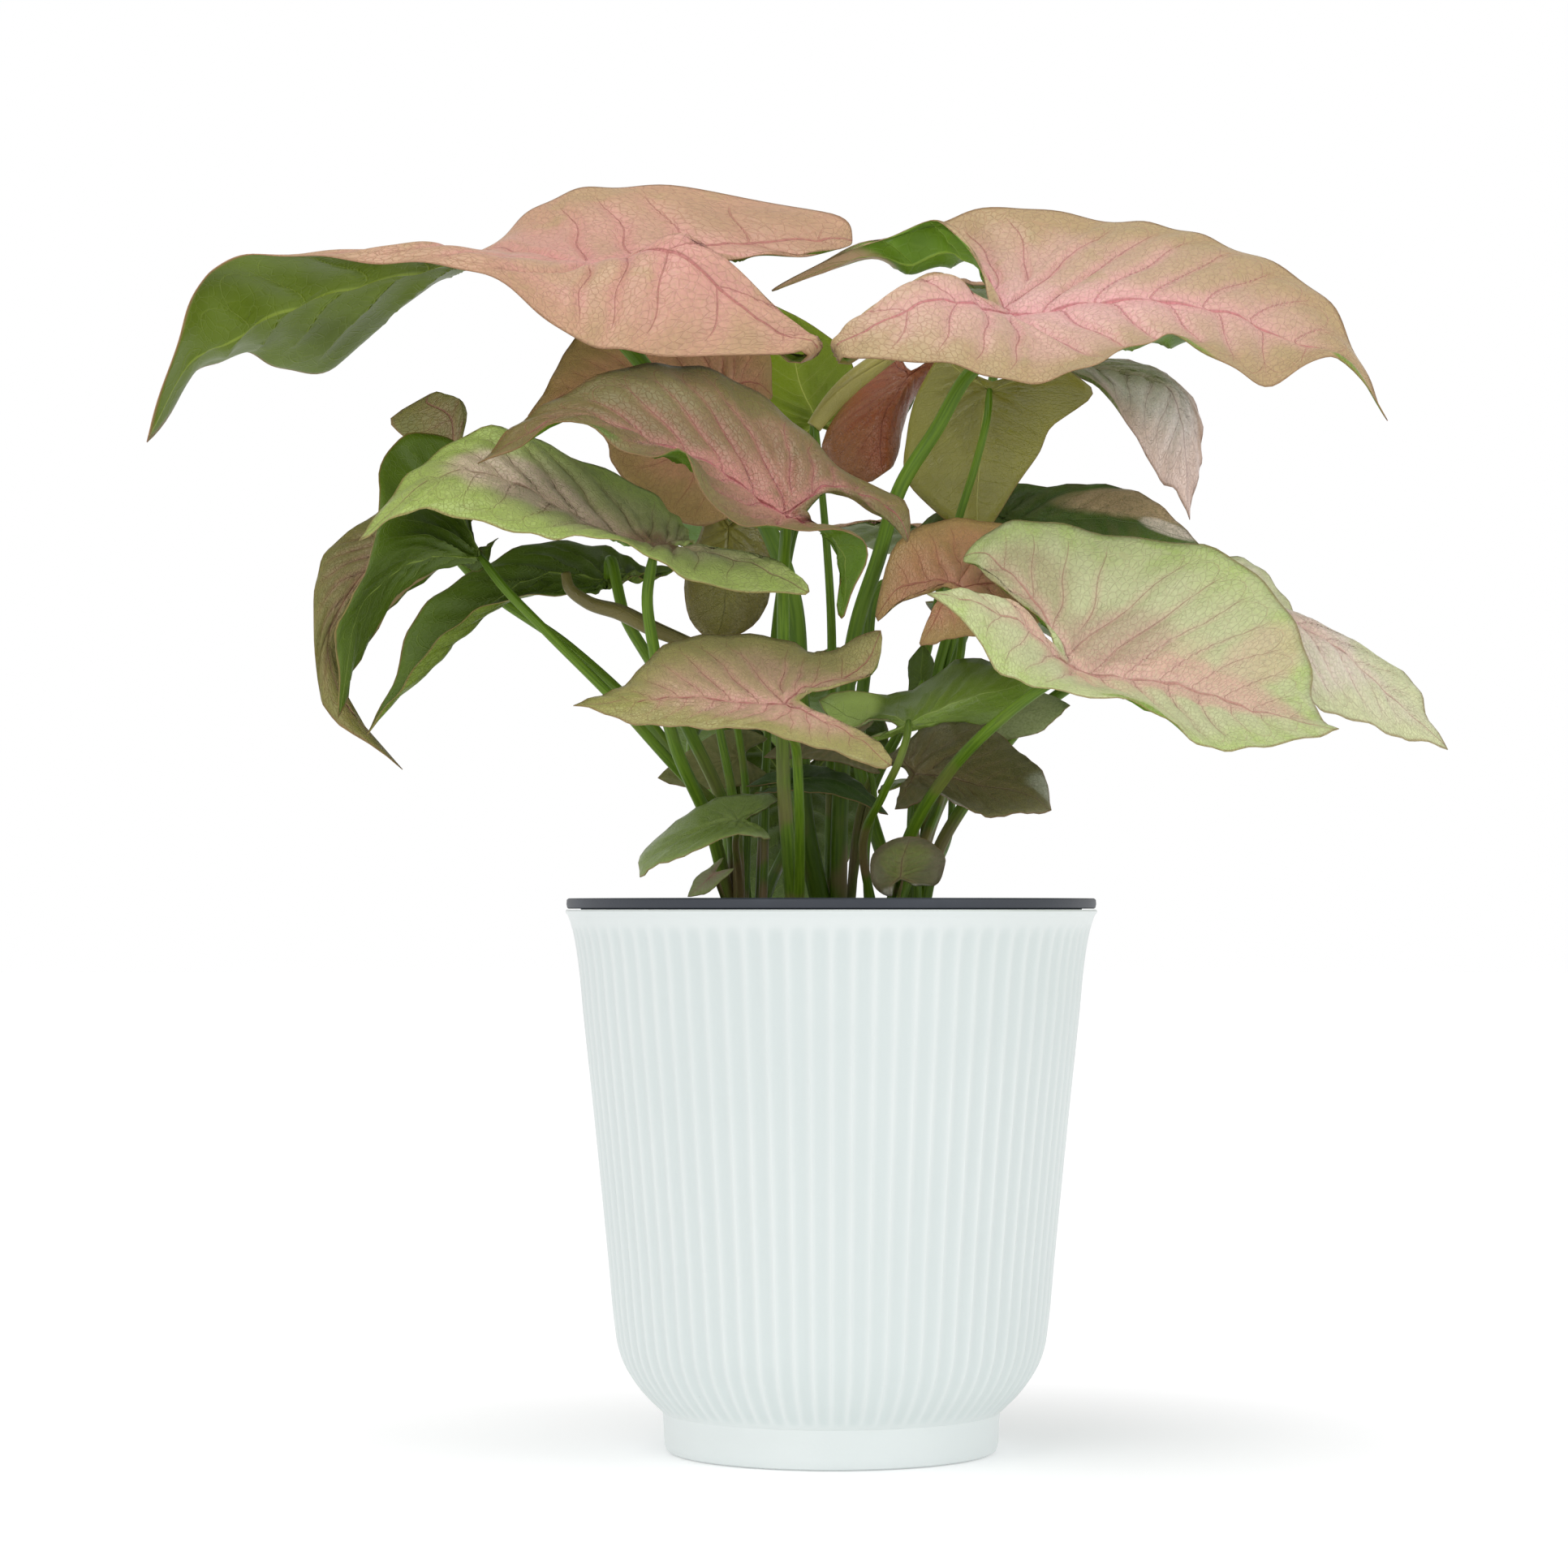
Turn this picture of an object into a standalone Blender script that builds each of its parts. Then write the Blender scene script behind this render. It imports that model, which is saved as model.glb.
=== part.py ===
"""Arrowhead plant in its fluted pot: every piece is a separate closed solid.

Sizes are in millimetres in the tables and in metres in the meshes. The origin is the centre of the
pot's foot, +Z is up and +Y points away from the side that the tables describe.
"""

import math

import bmesh
import bpy
import numpy as np

# Driving dimensions in millimetres
POT_HEIGHT = 151.8
POT_LIP_RADIUS = 74.9
RIB_COUNT = 76
RIB_DEPTH = 0.7
LINER_TOP = 155.0
SOIL_LEVEL = 144.0
LEAF_THICKNESS = 0.8
STEM_CLEARANCE = 1.5
GAP = 0.3
DRAIN_HOLES = 6
DRAIN_RADIUS = 4.0
DRAIN_RING = 30.0

# The leaf tables give x and z as an eye sees them on the upright plane through the pot's axis, and the
# depth behind that plane. The eye stands this far in front of the plane and this high above the foot.
EYE_DISTANCE = 1200.0
EYE_HEIGHT = 152.0

MILLIMETRE = 0.001
SHARP_ANGLE = 40.0
LINER_SEGMENTS = 36
STEM_SIDES = 5
CROWN_SIDES = 10

# Outer radius of the pot by height, from the foot's underside up to the flared lip
FOOT_PROFILE = [(0.0, 44.5), (0.9, 46.4), (11.2, 47.4)]
FLUTED_PROFILE = [
    (12.3, 48.0), (15.8, 52.1), (21.5, 56.6), (29.5, 60.0), (53.5, 62.7), (98.0, 67.2),
    (140.6, 71.8), (147.4, 73.2),
]
LIP_PROFILE = [(150.2, 74.4), (POT_HEIGHT, POT_LIP_RADIUS)]
POT_INSIDE = [(POT_HEIGHT, 71.6), (146.0, 68.9), (76.0, 61.2), (32.0, 55.8), (20.0, 48.0), (12.0, 38.0)]
LINER_OUTSIDE = [
    (26.0, 46.0), (30.0, 50.0), (76.0, 57.4), (146.5, 66.6), (151.0, 70.4),
    (POT_HEIGHT + GAP, 70.6), (POT_HEIGHT + GAP, 74.2), (LINER_TOP - 0.5, 74.6), (LINER_TOP, 74.0),
]
LINER_INSIDE = [(LINER_TOP, 69.4), (150.4, 69.0), (146.0, 65.2), (76.0, 56.0), (31.5, 48.6), (28.0, 44.0)]

# Places of the named landmarks on the flat leaf, whose stalk joins at (0, 0) and whose tip is (1, 0)
MARGIN = [
    (0.90, 0.08), (0.75, 0.17), (0.50, 0.29), (0.36, 0.34), (0.22, 0.37), (0.00, 0.40), (-0.25, 0.42),
    (-0.40, 0.41), (-0.50, 0.36), (-0.38, 0.26), (-0.25, 0.16), (-0.13, 0.08),
]
FLAT_PLACES = {
    "knot": (0.0, 0.0), "r1": (0.25, 0.0), "r2": (0.5, 0.0), "r3": (0.78, 0.0), "tip": (1.0, 0.0),
    "cleft": (-0.07, 0.0), "la": (-0.25, 0.28), "lb": (-0.25, -0.28), "ca": (0.42, 0.17),
    "cb": (0.42, -0.17),
}
for _number, (_u, _v) in enumerate(MARGIN, start=1):
    FLAT_PLACES[f"a{_number}"] = (_u, _v)
    FLAT_PLACES[f"b{_number}"] = (_u, -_v)
COARSE_MARGIN = (1, 2, 4, 5, 6, 8, 10)
LEAF_CENTRE = (0.02, 0.0)
LEAF_RINGS = (0.36, 0.72, 1.0)
SMALL_LEAF_RINGS = (0.5, 1.0)
NORMAL_STEP = 0.004
SPLINE_EASE = 0.0006
SMALL_LEAF_LENGTH = 45.0
DETAILED_LANDMARKS = 18

# Crowns that stand in the soil, one for each plantlet, by their place (x, y)
CROWN_RADIUS = 7.5
CROWN_FOOT = 112.0
CROWN_TOP = SOIL_LEVEL + 7.0
CROWN_TAPER = (0.45, 0.9, 1.0, 1.0, 0.85, 0.45)
CROWN_CLEARANCE = 0.6
CROWNS = {
    "left": (-25.0, -10.0),
    "front": (-9.0, -27.0),
    "right": (14.0, -14.0),
    "middle": (1.0, 5.0),
    "back_left": (-22.0, 20.0),
    "back_right": (22.0, 22.0),
}

# Each leaf: its plantlet, its colour and the landmarks that shape it, then its stalk's way from the crown
LEAVES = {
    "wide_left_leaf": dict(
        crown="middle", colour=(0.68, 0.38, 0.28),
        knot=(-67.5, 334, -30), r1=(-103, 336, -28), r2=(-138, 328.5, -24), r3=(-172, 310, -20),
        tip=(-194, 284, -16), a1=(-185.5, 312, -32), a2=(-177, 333.5, -42), a3=(-140, 336, -54),
        a4=(-118, 335.5, -58), a5=(-98, 331.5, -60), a6=(-72, 313.5, -60), a7=(-48, 308.5, -58),
        a8=(-14, 309.8, -50), a9=(-3, 312.5, -46), a10=(-12, 318.5, -44), a11=(-38, 342, -44),
        ca=(-122, 339.5, -46), la=(-34, 326, -50), b1=(-181, 304, -6), b2=(-166, 309, 4),
        b3=(-141, 306, 14), b4=(-116, 327, 18), b5=(-98, 340, 16), b6=(-78, 353.5, 16), b7=(-45, 357, 14),
        b8=(1, 348, 4), b9=(6, 342, -4), b10=(-6, 337.5, -14), b11=(-26, 336, -20), cleft=(-58, 335, -30),
        stalk=[(-8, 180, -4), (-9, 215, -9), (-11, 240, -14), (-20, 264, -21), (-37, 288, -27),
               (-54, 307, -27)]),
    "wide_right_leaf": dict(
        crown="middle", colour=(0.66, 0.37, 0.27),
        knot=(51.5, 321, -22), r1=(80, 324.5, -20), r2=(110, 321.5, -18), r3=(138, 310, -18),
        tip=(157, 289.5, -22), a1=(151.5, 303, -15), a2=(142, 322, 2), a3=(112, 340.5, 20),
        a5=(82, 346.5, 28), a6=(50, 351, 28), a7=(20, 344, 30), a8=(-1, 332, 6), a9=(-17, 327, 2),
        a10=(10, 341, 4), a11=(30, 347.5, 8), a12=(43.5, 330, -12), la=(24, 331, 16), b1=(143, 309, -24),
        b2=(124, 300, -38), b3=(96, 315, -50), b5=(72, 305, -58), b6=(50, 301.3, -60), b7=(25, 307.5, -56),
        b8=(6, 308, -50), b9=(0, 310.5, -47), b10=(7, 319, -43), b11=(27, 331.5, -34), cb=(99, 311, -38),
        cleft=(46, 323, -24),
        stalk=[(3, 190, -4), (8, 235, -12), (13, 250, -15), (20, 272, -18), (30, 288, -20),
               (38, 302, -22)]),
    "brown_pink_leaf": dict(
        crown="front", colour=(0.40, 0.23, 0.14),
        knot=(-12.5, 264, -72), r1=(-30, 275.5, -72), r2=(-52, 285, -70), r3=(-76, 291, -68),
        tip=(-100, 278, -66), a2=(-73, 290, -76), a3=(-52, 279.5, -88), a4=(-42, 281, -92),
        a5=(-33, 266, -94), a6=(-15, 259.3, -90), a7=(9.5, 257, -76), a9=(3, 234, -66),
        a11=(-2, 258, -64), b2=(-84, 293.5, -58), b3=(-58, 305.5, -52), b5=(-33, 304, -46),
        b6=(-12, 292, -46), b7=(6, 273.5, -56), b8=(21, 268, -58), b9=(22, 256, -62),
        b11=(4, 269, -66), cleft=(-7, 265, -72),
        stalk=[(-13.5, 190, -41), (-13.5, 225, -44), (-13.5, 247, -54)]),
    "lime_left_leaf": dict(
        crown="left", colour=(0.40, 0.52, 0.18),
        knot=(-50, 254, -56), r1=(-70, 262, -56), r2=(-92, 273.5, -54), r3=(-113, 273, -56),
        tip=(-134, 257, -66), a2=(-113, 265, -70), a3=(-88, 258, -80), a5=(-68, 257.5, -84),
        a6=(-50, 251.5, -84), a7=(-33, 242.5, -80), a9=(-6, 242, -76), a10=(-16, 250, -72),
        a11=(-34, 254, -66), b2=(-117, 277, -44), b3=(-97, 288.3, -42), b5=(-70, 279, -38),
        b6=(-50, 269, -38), b7=(-42, 261, -40), b9=(-38, 255, -44), b11=(-42, 255, -50),
        cleft=(-46, 254, -56),
        stalk=[(-34, 175, -20), (-44, 198, -34), (-50, 225, -46), (-52, 240, -50)]),
    "folded_left_leaf": dict(
        crown="left", colour=(0.10, 0.24, 0.03),
        knot=(-100, 251.5, -40), r1=(-112, 252.5, -44), r2=(-124, 247, -46), r3=(-134, 235, -48),
        tip=(-139, 206, -50), a2=(-141, 228, -56), a3=(-133, 245, -58), a5=(-128, 264, -50),
        a6=(-128, 277, -34), a7=(-119, 287, -26), a9=(-100, 281, -22), a11=(-102, 264, -32),
        b2=(-136, 217, -42), b3=(-129, 231, -34), b5=(-119, 242.5, -28), b6=(-108, 249.5, -26),
        b7=(-99, 248, -30), b9=(-94.5, 257, -30), b11=(-99, 254, -36),
        stalk=[(-30, 178, -14), (-42, 190, -22), (-62, 212, -34), (-82, 232, -44), (-93, 243.5, -45)]),
    "draped_left_leaf": dict(
        crown="back_left", colour=(0.42, 0.26, 0.18),
        knot=(-112, 258, 6), r1=(-126, 252, 4), r2=(-137, 240, 2), r3=(-142, 221, -2),
        tip=(-121, 191.5, -8), a1=(-130, 200.5, -2), a2=(-138, 213, 2), a3=(-130, 233, 4),
        a5=(-116, 246, 4), a6=(-104, 258, 2), a9=(-100, 280, 2), b1=(-138, 203, -8), b2=(-144.5, 212, -4),
        b3=(-146.5, 240, 2), b5=(-140, 256, 8), b6=(-125, 268, 12), b7=(-118.5, 283, 12),
        b8=(-125, 291, 14), b9=(-113, 298, 12), b10=(-106, 297, 10), b11=(-103.5, 290, 8),
        stalk=[(-44, 195, 22), (-74, 226, 25), (-98, 243, 25)]),
    "hanging_green_leaf": dict(
        crown="left", colour=(0.16, 0.22, 0.05),
        knot=(-63.5, 244, -20), r1=(-80, 246, -20), r2=(-95, 238, -20), r3=(-113, 220.5, -22),
        tip=(-131.5, 201, -26), a2=(-120.5, 230, -16), a3=(-105, 245.5, -10), a5=(-82, 255.5, -4),
        a6=(-65, 255, -4), a7=(-55, 250, -8), a9=(-42, 248.5, -14), a11=(-53, 245.5, -16),
        b1=(-125.5, 210.5, -26), b2=(-117, 221, -26), b3=(-102, 236, -28), b5=(-78, 241, -28),
        b6=(-68, 241.5, -26), b7=(-60, 245, -16), b9=(-48, 246, -15), b11=(-57, 246, -17),
        stalk=[(-30, 180, -8), (-39, 200, -14), (-51, 222, -25), (-58, 234, -31)]),
    "pink_centre_leaf": dict(
        crown="front", colour=(0.55, 0.34, 0.22),
        knot=(-12.5, 210, -84), r1=(-27, 210.5, -84), r2=(-42, 211.5, -84), r3=(-58, 210.5, -82),
        tip=(-73, 210, -78), a2=(-58, 205, -88), a3=(-42, 203.3, -94), a5=(-24, 203, -98),
        a6=(-10, 199.5, -98), a7=(3, 195.5, -94), a9=(17, 192.5, -86), a10=(13, 199, -84),
        a11=(2, 205, -86), b2=(-60, 214, -74), b3=(-49, 225, -66), b5=(-30, 230, -58),
        b6=(-12, 227.5, -56), b7=(-1, 224.5, -58), b9=(14, 231, -56), b10=(12, 218.5, -64),
        b11=(-2, 214, -76), cleft=(-9, 210.5, -84),
        stalk=[(-9, 180, -52), (-10, 198, -66)]),
    "big_right_leaf": dict(
        crown="right", colour=(0.48, 0.58, 0.26),
        knot=(68, 220.5, -72), r1=(86, 217, -74), r2=(104, 212.5, -74), r3=(124, 206.5, -70),
        tip=(143, 202, -62), a1=(138, 206, -56), a2=(136, 217, -50), a3=(128, 238, -40),
        a4=(118, 248, -36), a5=(105, 254.5, -32), a6=(78, 258, -30), a7=(53, 262, -34),
        a8=(44, 258.5, -36), a9=(37.5, 251, -42), a11=(50, 241, -56), b1=(137, 201, -68),
        b2=(122, 197.5, -84), b3=(105, 198.5, -94), b5=(84, 211, -98), b6=(60, 214, -98),
        b7=(46, 221, -94), b8=(37, 234, -84), b9=(27, 240.5, -74), b10=(38, 242, -72), b11=(52, 238, -72),
        cleft=(64.5, 225, -72),
        stalk=[(22, 172, -26), (32, 189, -40), (45, 203, -56), (56, 212, -64)]),
    "far_right_leaf": dict(
        crown="back_right", colour=(0.62, 0.55, 0.44),
        knot=(112, 238, -8), r1=(127, 235, -8), r2=(143, 226, -8), r3=(158, 210.5, -8), tip=(174, 197, -8),
        a2=(165.5, 214, 4), a3=(151, 225, 10), a5=(136, 231.5, 12), a6=(129, 238, 10), a7=(121, 249, 8),
        a9=(106, 251, 2), b2=(160, 200.5, -16), b3=(145, 206, -24), b5=(132, 212, -28), b6=(118, 222, -26),
        b9=(96, 232, -16),
        stalk=[(30, 168, 24), (40, 185, 26), (55, 205, 26), (78, 221, 20), (97, 229, 10)]),
    "silvery_leaf": dict(
        crown="back_right", colour=(0.60, 0.44, 0.40),
        knot=(66, 306, 18), r1=(82, 303.5, 10), r2=(96, 298.5, 6), r3=(100, 284, 4),
        tip=(101.5, 262, 2), a2=(104.5, 278, 10), a3=(104, 292, 14), a5=(93, 304.5, 20),
        a6=(78, 307.5, 24), a7=(66, 309, 26), a9=(54, 310, 26), b2=(94, 272, 0), b3=(85, 287, 0),
        b5=(76, 299, 8), b6=(66, 304, 12), b9=(52, 306, 16),
        stalk=[(24, 190, 32), (36, 240, 42), (52, 285, 38)]),
    "olive_back_leaf": dict(
        crown="middle", colour=(0.32, 0.30, 0.08),
        knot=(45, 299, 4), r2=(42, 280, 8), tip=(42, 256, 10), a2=(31, 263, 10), a3=(22, 272, 10),
        a5=(21, 283, 10), a6=(23, 294, 8), a7=(27, 303, 6), a9=(34, 312, 4), b2=(52, 271, 8),
        b3=(59, 281, 7), b5=(63, 289, 5), b6=(74, 297, 1), b7=(68, 304, -2), b9=(58, 310, -3),
        stalk=[(10, 185, 4), (23, 210, 3), (27, 224, 2), (31, 243, 0), (36, 262, -2), (41, 278, -5),
               (44, 290, -5)]),
    "red_brown_leaf": dict(
        crown="back_left", colour=(0.38, 0.14, 0.07),
        knot=(22, 303, 24), r1=(18, 297, 21), r2=(14.5, 290, 20), tip=(15.5, 275.5, 20),
        a2=(18.5, 279.5, 24), a3=(20, 286, 26), a5=(22, 294, 28), a6=(27, 301, 28), a9=(30, 308, 28),
        b2=(8, 272.5, 22), b3=(-2.5, 279, 26), b5=(1, 291, 30), b6=(7, 299, 32), b9=(18, 310, 32),
        stalk=[(-18, 200, 34), (-13, 245, 38), (-8, 264, 40), (11, 281, 40)]),
    "bright_back_leaf": dict(
        crown="back_left", colour=(0.18, 0.28, 0.02),
        knot=(-4, 290, 40), r1=(-7, 297, 41), r2=(-10, 306, 42), tip=(-16, 323, 40), a2=(-4, 316.5, 42),
        a3=(3, 311, 44), a5=(7, 303, 44), a6=(8, 294, 42), a9=(6, 282, 38), b2=(-20, 318, 42),
        b3=(-25, 309, 46), b5=(-24, 298, 46), b6=(-18, 290, 44), b9=(-13, 280, 40),
        stalk=[(-18, 200, 26), (-14, 245, 30), (-10, 265, 32), (-6, 279, 33)]),
    "salmon_leaf": dict(
        crown="back_left", colour=(0.58, 0.32, 0.18),
        knot=(-30, 296, 4), r1=(-44, 299, 4), r2=(-58, 301, 4), r3=(-73, 298, 2), tip=(-86, 292, 0),
        a2=(-73, 294, -6), a3=(-64, 285, -10), a5=(-59, 274, -10), a6=(-44, 262, -10),
        a7=(-30, 262, -8), a9=(-12, 272, -2), b2=(-78, 305, 6), b3=(-71, 315, 10), b5=(-50, 322, 14),
        b6=(-32, 321, 14), b7=(-18, 311, 12), b9=(-16.5, 297, 6), b11=(-25, 297, 5),
        stalk=[(-27, 190, 26), (-27, 240, 22), (-28, 280, 15)]),
    "olive_centre_leaf": dict(
        crown="left", colour=(0.20, 0.18, 0.03),
        knot=(-29, 260, 3), r2=(-30, 245, 1), tip=(-33, 227, 1), a2=(-22, 232, 4),
        a3=(-17.5, 240, 6), a5=(-17, 251, 7), a6=(-18, 260, 8), a9=(-20, 269, 8), b2=(-40, 234, 3),
        b3=(-41.5, 245, 4), b5=(-38, 256, 5), b6=(-35, 264, 7), b9=(-33, 270, 8),
        stalk=[(-24, 185, -2), (-28, 215, 9), (-29, 245, 13)]),
    "dark_right_leaf": dict(
        crown="back_right", colour=(0.10, 0.16, 0.04),
        knot=(50, 262, 22), r1=(62, 262, 16), r2=(76, 262.5, 14), r3=(90, 260, 12), tip=(104, 255, 10),
        a2=(93, 266, 16), a3=(80, 271.8, 22), a5=(62, 271.5, 26), a6=(48, 272.5, 28),
        a7=(34, 267, 26), a9=(24, 259, 22), b2=(86, 252, 2), b3=(74, 248, 0), b5=(58, 246, 0),
        b6=(44, 248, 2), b9=(24, 250, 10),
        stalk=[(24, 185, 22), (36, 225, 30), (46, 250, 30)]),
    "orange_salmon_leaf": dict(
        crown="right", colour=(0.58, 0.26, 0.14),
        knot=(37, 243, -32), r2=(60, 244, -20), tip=(84, 243, -10), a3=(62, 257, -2), a5=(48, 261, -6),
        a6=(33, 262, -12), a7=(19, 256, -20), a9=(12.5, 234, -34), a11=(26, 240.5, -32),
        b3=(62, 234, -30), b5=(52, 231, -38), b6=(43, 229.5, -42), b7=(33, 228, -44),
        b9=(25, 226.5, -44), b11=(30, 239, -36),
        stalk=[(27, 173, -4), (31, 184, 5), (33, 200, 5), (35, 215, -8), (37, 228, -20)]),
    "lime_tip_leaf": dict(
        crown="right", colour=(0.20, 0.34, 0.07),
        knot=(22, 204, -52), r2=(42, 212, -46), tip=(60, 217, -42), a2=(56, 211, -43), a3=(46, 204.5, -45),
        a5=(36, 205, -47), a6=(27, 203.5, -49), a7=(18, 201, -51), a9=(10, 199, -52), b2=(55, 220, -32),
        b3=(46, 222, -26), b5=(35, 221.8, -22), b6=(24, 214.5, -26), b7=(14, 212.5, -32), b8=(5, 214, -38),
        b9=(-3.5, 211, -44), b10=(3, 203, -48), b11=(11, 205.5, -48),
        stalk=[(9, 170, -26), (15, 185, -46), (20, 196, -58), (21.5, 201, -56)]),
    "bronze_leaf": dict(
        crown="right", colour=(0.14, 0.11, 0.05),
        knot=(24, 190, -14), r2=(43, 186, -18), tip=(62, 179.5, -22), a2=(60, 190.5, -12),
        a3=(53, 196.5, -6), a5=(42, 204.5, -2), a6=(30, 204.5, -2), a7=(21, 199, -4), a9=(15, 194, -8),
        b2=(54, 179, -28), b3=(45, 178, -32), b5=(38, 180.5, -32), b6=(30, 184.5, -30), b7=(24, 182, -28),
        b9=(18, 180, -24),
        stalk=[(21, 168, -8), (24, 178, -8)]),
    "glossy_small_leaf": dict(
        crown="right", colour=(0.16, 0.26, 0.06),
        knot=(46, 206, 10), r2=(56, 208, 8), tip=(67.5, 209.5, 4), a3=(60, 213, 16), a6=(47, 214, 18),
        a9=(38, 213, 18), b3=(60, 202.5, 2), b6=(47, 199.5, 4), b9=(38, 200, 8),
        stalk=[(24, 168, 4), (33, 186, 14), (40, 199, 18)]),
    "lower_left_leaf": dict(
        crown="left", colour=(0.11, 0.22, 0.04),
        knot=(-26, 177, -44), r2=(-40, 173, -48), tip=(-54, 161, -52), a2=(-49, 164.5, -56),
        a3=(-41, 167, -60), a5=(-32, 171.5, -58), a6=(-25, 173, -54), a9=(-17, 172, -46),
        b2=(-53, 168.5, -42), b3=(-43, 177, -36), b5=(-33, 183, -33), b6=(-23, 184.5, -32),
        b9=(-15, 183, -34),
        stalk=[(-26, 162, -22), (-27, 170, -32)]),
    "dark_low_leaf": dict(
        crown="front", colour=(0.05, 0.11, 0.02),
        knot=(-12, 187.5, -24), r2=(2, 188, -24), tip=(16, 178.5, -26), a2=(9, 181.5, -30),
        a3=(2, 184, -32), a5=(-5, 185, -32), a6=(-12, 185.5, -32), a9=(-22, 184.5, -26), b2=(10, 186, -20),
        b3=(3, 190.5, -16), b5=(-6, 192.5, -14), b6=(-14, 191.5, -14), b9=(-24, 186.5, -18),
        stalk=[(-9, 166, -31), (-11, 178, -37), (-12.5, 186.5, -36)]),
    "baby_heart_leaf": dict(
        crown="right", colour=(0.30, 0.20, 0.17),
        knot=(19.5, 161, -44), r2=(20.5, 167, -44), tip=(22, 172.5, -42), a2=(17, 171.5, -42),
        a3=(12.5, 168.5, -42), a5=(11, 164, -43), a6=(11.5, 159.5, -44), a7=(14, 156.5, -44),
        a9=(17, 155.5, -44), b2=(27, 171.5, -40), b3=(31.5, 168, -40), b5=(32, 164, -40),
        b6=(31, 160.5, -41), b7=(29, 158.5, -42), b9=(25, 158.8, -43),
        stalk=[(17, 153, -30)]),
    "pale_small_leaf": dict(
        crown="left", colour=(0.52, 0.50, 0.30),
        knot=(-33, 162, -33), r2=(-36, 159, -35), tip=(-40.5, 155.5, -38), a3=(-35, 156.5, -37),
        a6=(-31, 160, -35), b3=(-38.5, 160.5, -33), b6=(-34.5, 163.5, -31),
        stalk=[(-30, 154, -24)]),
    "bronze_middle_leaf": dict(
        crown="right", colour=(0.13, 0.09, 0.04),
        knot=(4, 199, -22), r2=(-8, 198, -24), tip=(-19, 195, -26), a3=(-8, 194.5, -26), a6=(4, 193, -26),
        a9=(14, 190.5, -24), b3=(-7, 203, -20), b6=(4, 206, -18), b9=(12, 205, -18),
        stalk=[(10, 168, -12), (12, 186, -9), (9, 196, -12)]),
    "small_green_leaf": dict(
        crown="middle", colour=(0.10, 0.18, 0.03),
        knot=(25.5, 216, -8), r2=(25.5, 221, -8), tip=(26, 227, -8), a3=(29, 222, -6), a6=(28, 216, -6),
        b3=(22, 222, -6), b6=(22, 216, -6),
        stalk=[(12, 185, 2), (22, 206, -2)]),
    "shaded_left_leaf": dict(
        crown="back_left", colour=(0.06, 0.13, 0.02),
        knot=(-26, 195, 8), r2=(-38, 192, 8), tip=(-49, 189, 6), a3=(-37, 186, 4), a6=(-25, 187, 4),
        a9=(-18, 190, 6), b3=(-37, 199, 10), b6=(-27, 203, 10), b9=(-18, 200, 10),
        stalk=[(-24, 176, 20)]),
}

# Leaves on the far side: knot (x, y, z), heading in degrees from +X, fall of the tip, length and colour
FAR_LEAVES = {
    "far_side_leaf_1": dict(crown="back_right", knot=(46, 98, 262), heading=55, fall=14, length=80,
                            colour=(0.55, 0.40, 0.26), stalk=[(8, 195, 44), (10, 222, 60), (14, 243, 78)]),
    "far_side_leaf_2": dict(crown="back_left", knot=(-34, 78, 286), heading=95, fall=12, length=64,
                            colour=(0.46, 0.50, 0.22), stalk=[(-30, 205, 26), (-32, 245, 44)]),
    "far_side_leaf_3": dict(crown="back_right", knot=(74, 62, 240), heading=52, fall=8, length=76,
                            colour=(0.30, 0.36, 0.12), stalk=[(27, 172, 32), (36, 192, 40), (52, 212, 48)]),
    "far_side_leaf_4": dict(crown="back_left", knot=(-10, 66, 190), heading=98, fall=50, length=58,
                            colour=(0.20, 0.30, 0.08)),
    "far_side_leaf_5": dict(crown="back_left", knot=(-22, 80, 216), heading=98, fall=30, length=66,
                            colour=(0.58, 0.36, 0.26), stalk=[(-37, 183, 38), (-38, 203, 56)]),
    "far_side_leaf_6": dict(crown="back_right", knot=(36, 72, 190), heading=78, fall=-5, length=44,
                            colour=(0.14, 0.24, 0.06)),
    "far_side_leaf_7": dict(crown="back_left", knot=(-38, 82, 320), heading=100, fall=10, length=66,
                            colour=(0.62, 0.36, 0.26), stalk=[(-27, 225, 28), (-29, 280, 40)]),
    "far_side_leaf_8": dict(crown="back_right", knot=(50, 66, 338), heading=80, fall=-8, length=66,
                            colour=(0.60, 0.38, 0.28), stalk=[(36, 240, 44), (44, 290, 50)]),
}

# How a far side leaf bends, in parts of its length: the tip's droop, the lift and roll of its halves
FAR_DROOP = 0.22
FAR_LIFT = 0.35
FAR_ROLL = 0.9
FAR_WIDTH = 1.05

# Young leaves that are still rolled: their way from foot to end, widest radius and stalk
ROLLED_LEAVES = {
    "unfurling_leaf": dict(
        crown="middle", colour=(0.30, 0.30, 0.09), radius=3.3,
        way=[(-5, 288.5, 11), (-1, 294, 11), (4.5, 300, 11), (12, 306, 11), (21, 312, 11)],
        stalk=[(0, 190, 8), (0, 235, 10), (-3, 275, 13)]),
    "rolled_shoot": dict(
        crown="left", colour=(0.25, 0.20, 0.08), radius=2.3,
        way=[(-40, 227, -36), (-50, 231, -39), (-60, 236, -42), (-69, 239, -43), (-74, 243, -43),
             (-75, 247, -42)],
        stalk=[(-27, 178, -20), (-31, 200, -27), (-35, 217, -33)]),
}

STALK_COLOUR = (0.10, 0.24, 0.05)
STALK_WIDTH_PER_LENGTH = 0.013
STALK_LEAST_RADIUS = 0.5
STALK_FOOT_WIDENING = 1.4
STALK_END_SHARE = 0.7
STALK_ROOT_DEPTH = 16.0
STALK_COLLAR_RISE = 18.0
STALK_LEAN = 3.5
STALK_STEP = 30.0
STALK_BEND = 7.0
STALK_BEND_SPACING = 12.0
YOUNG_STALK_RADII = (2.0, 0.9)


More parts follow.
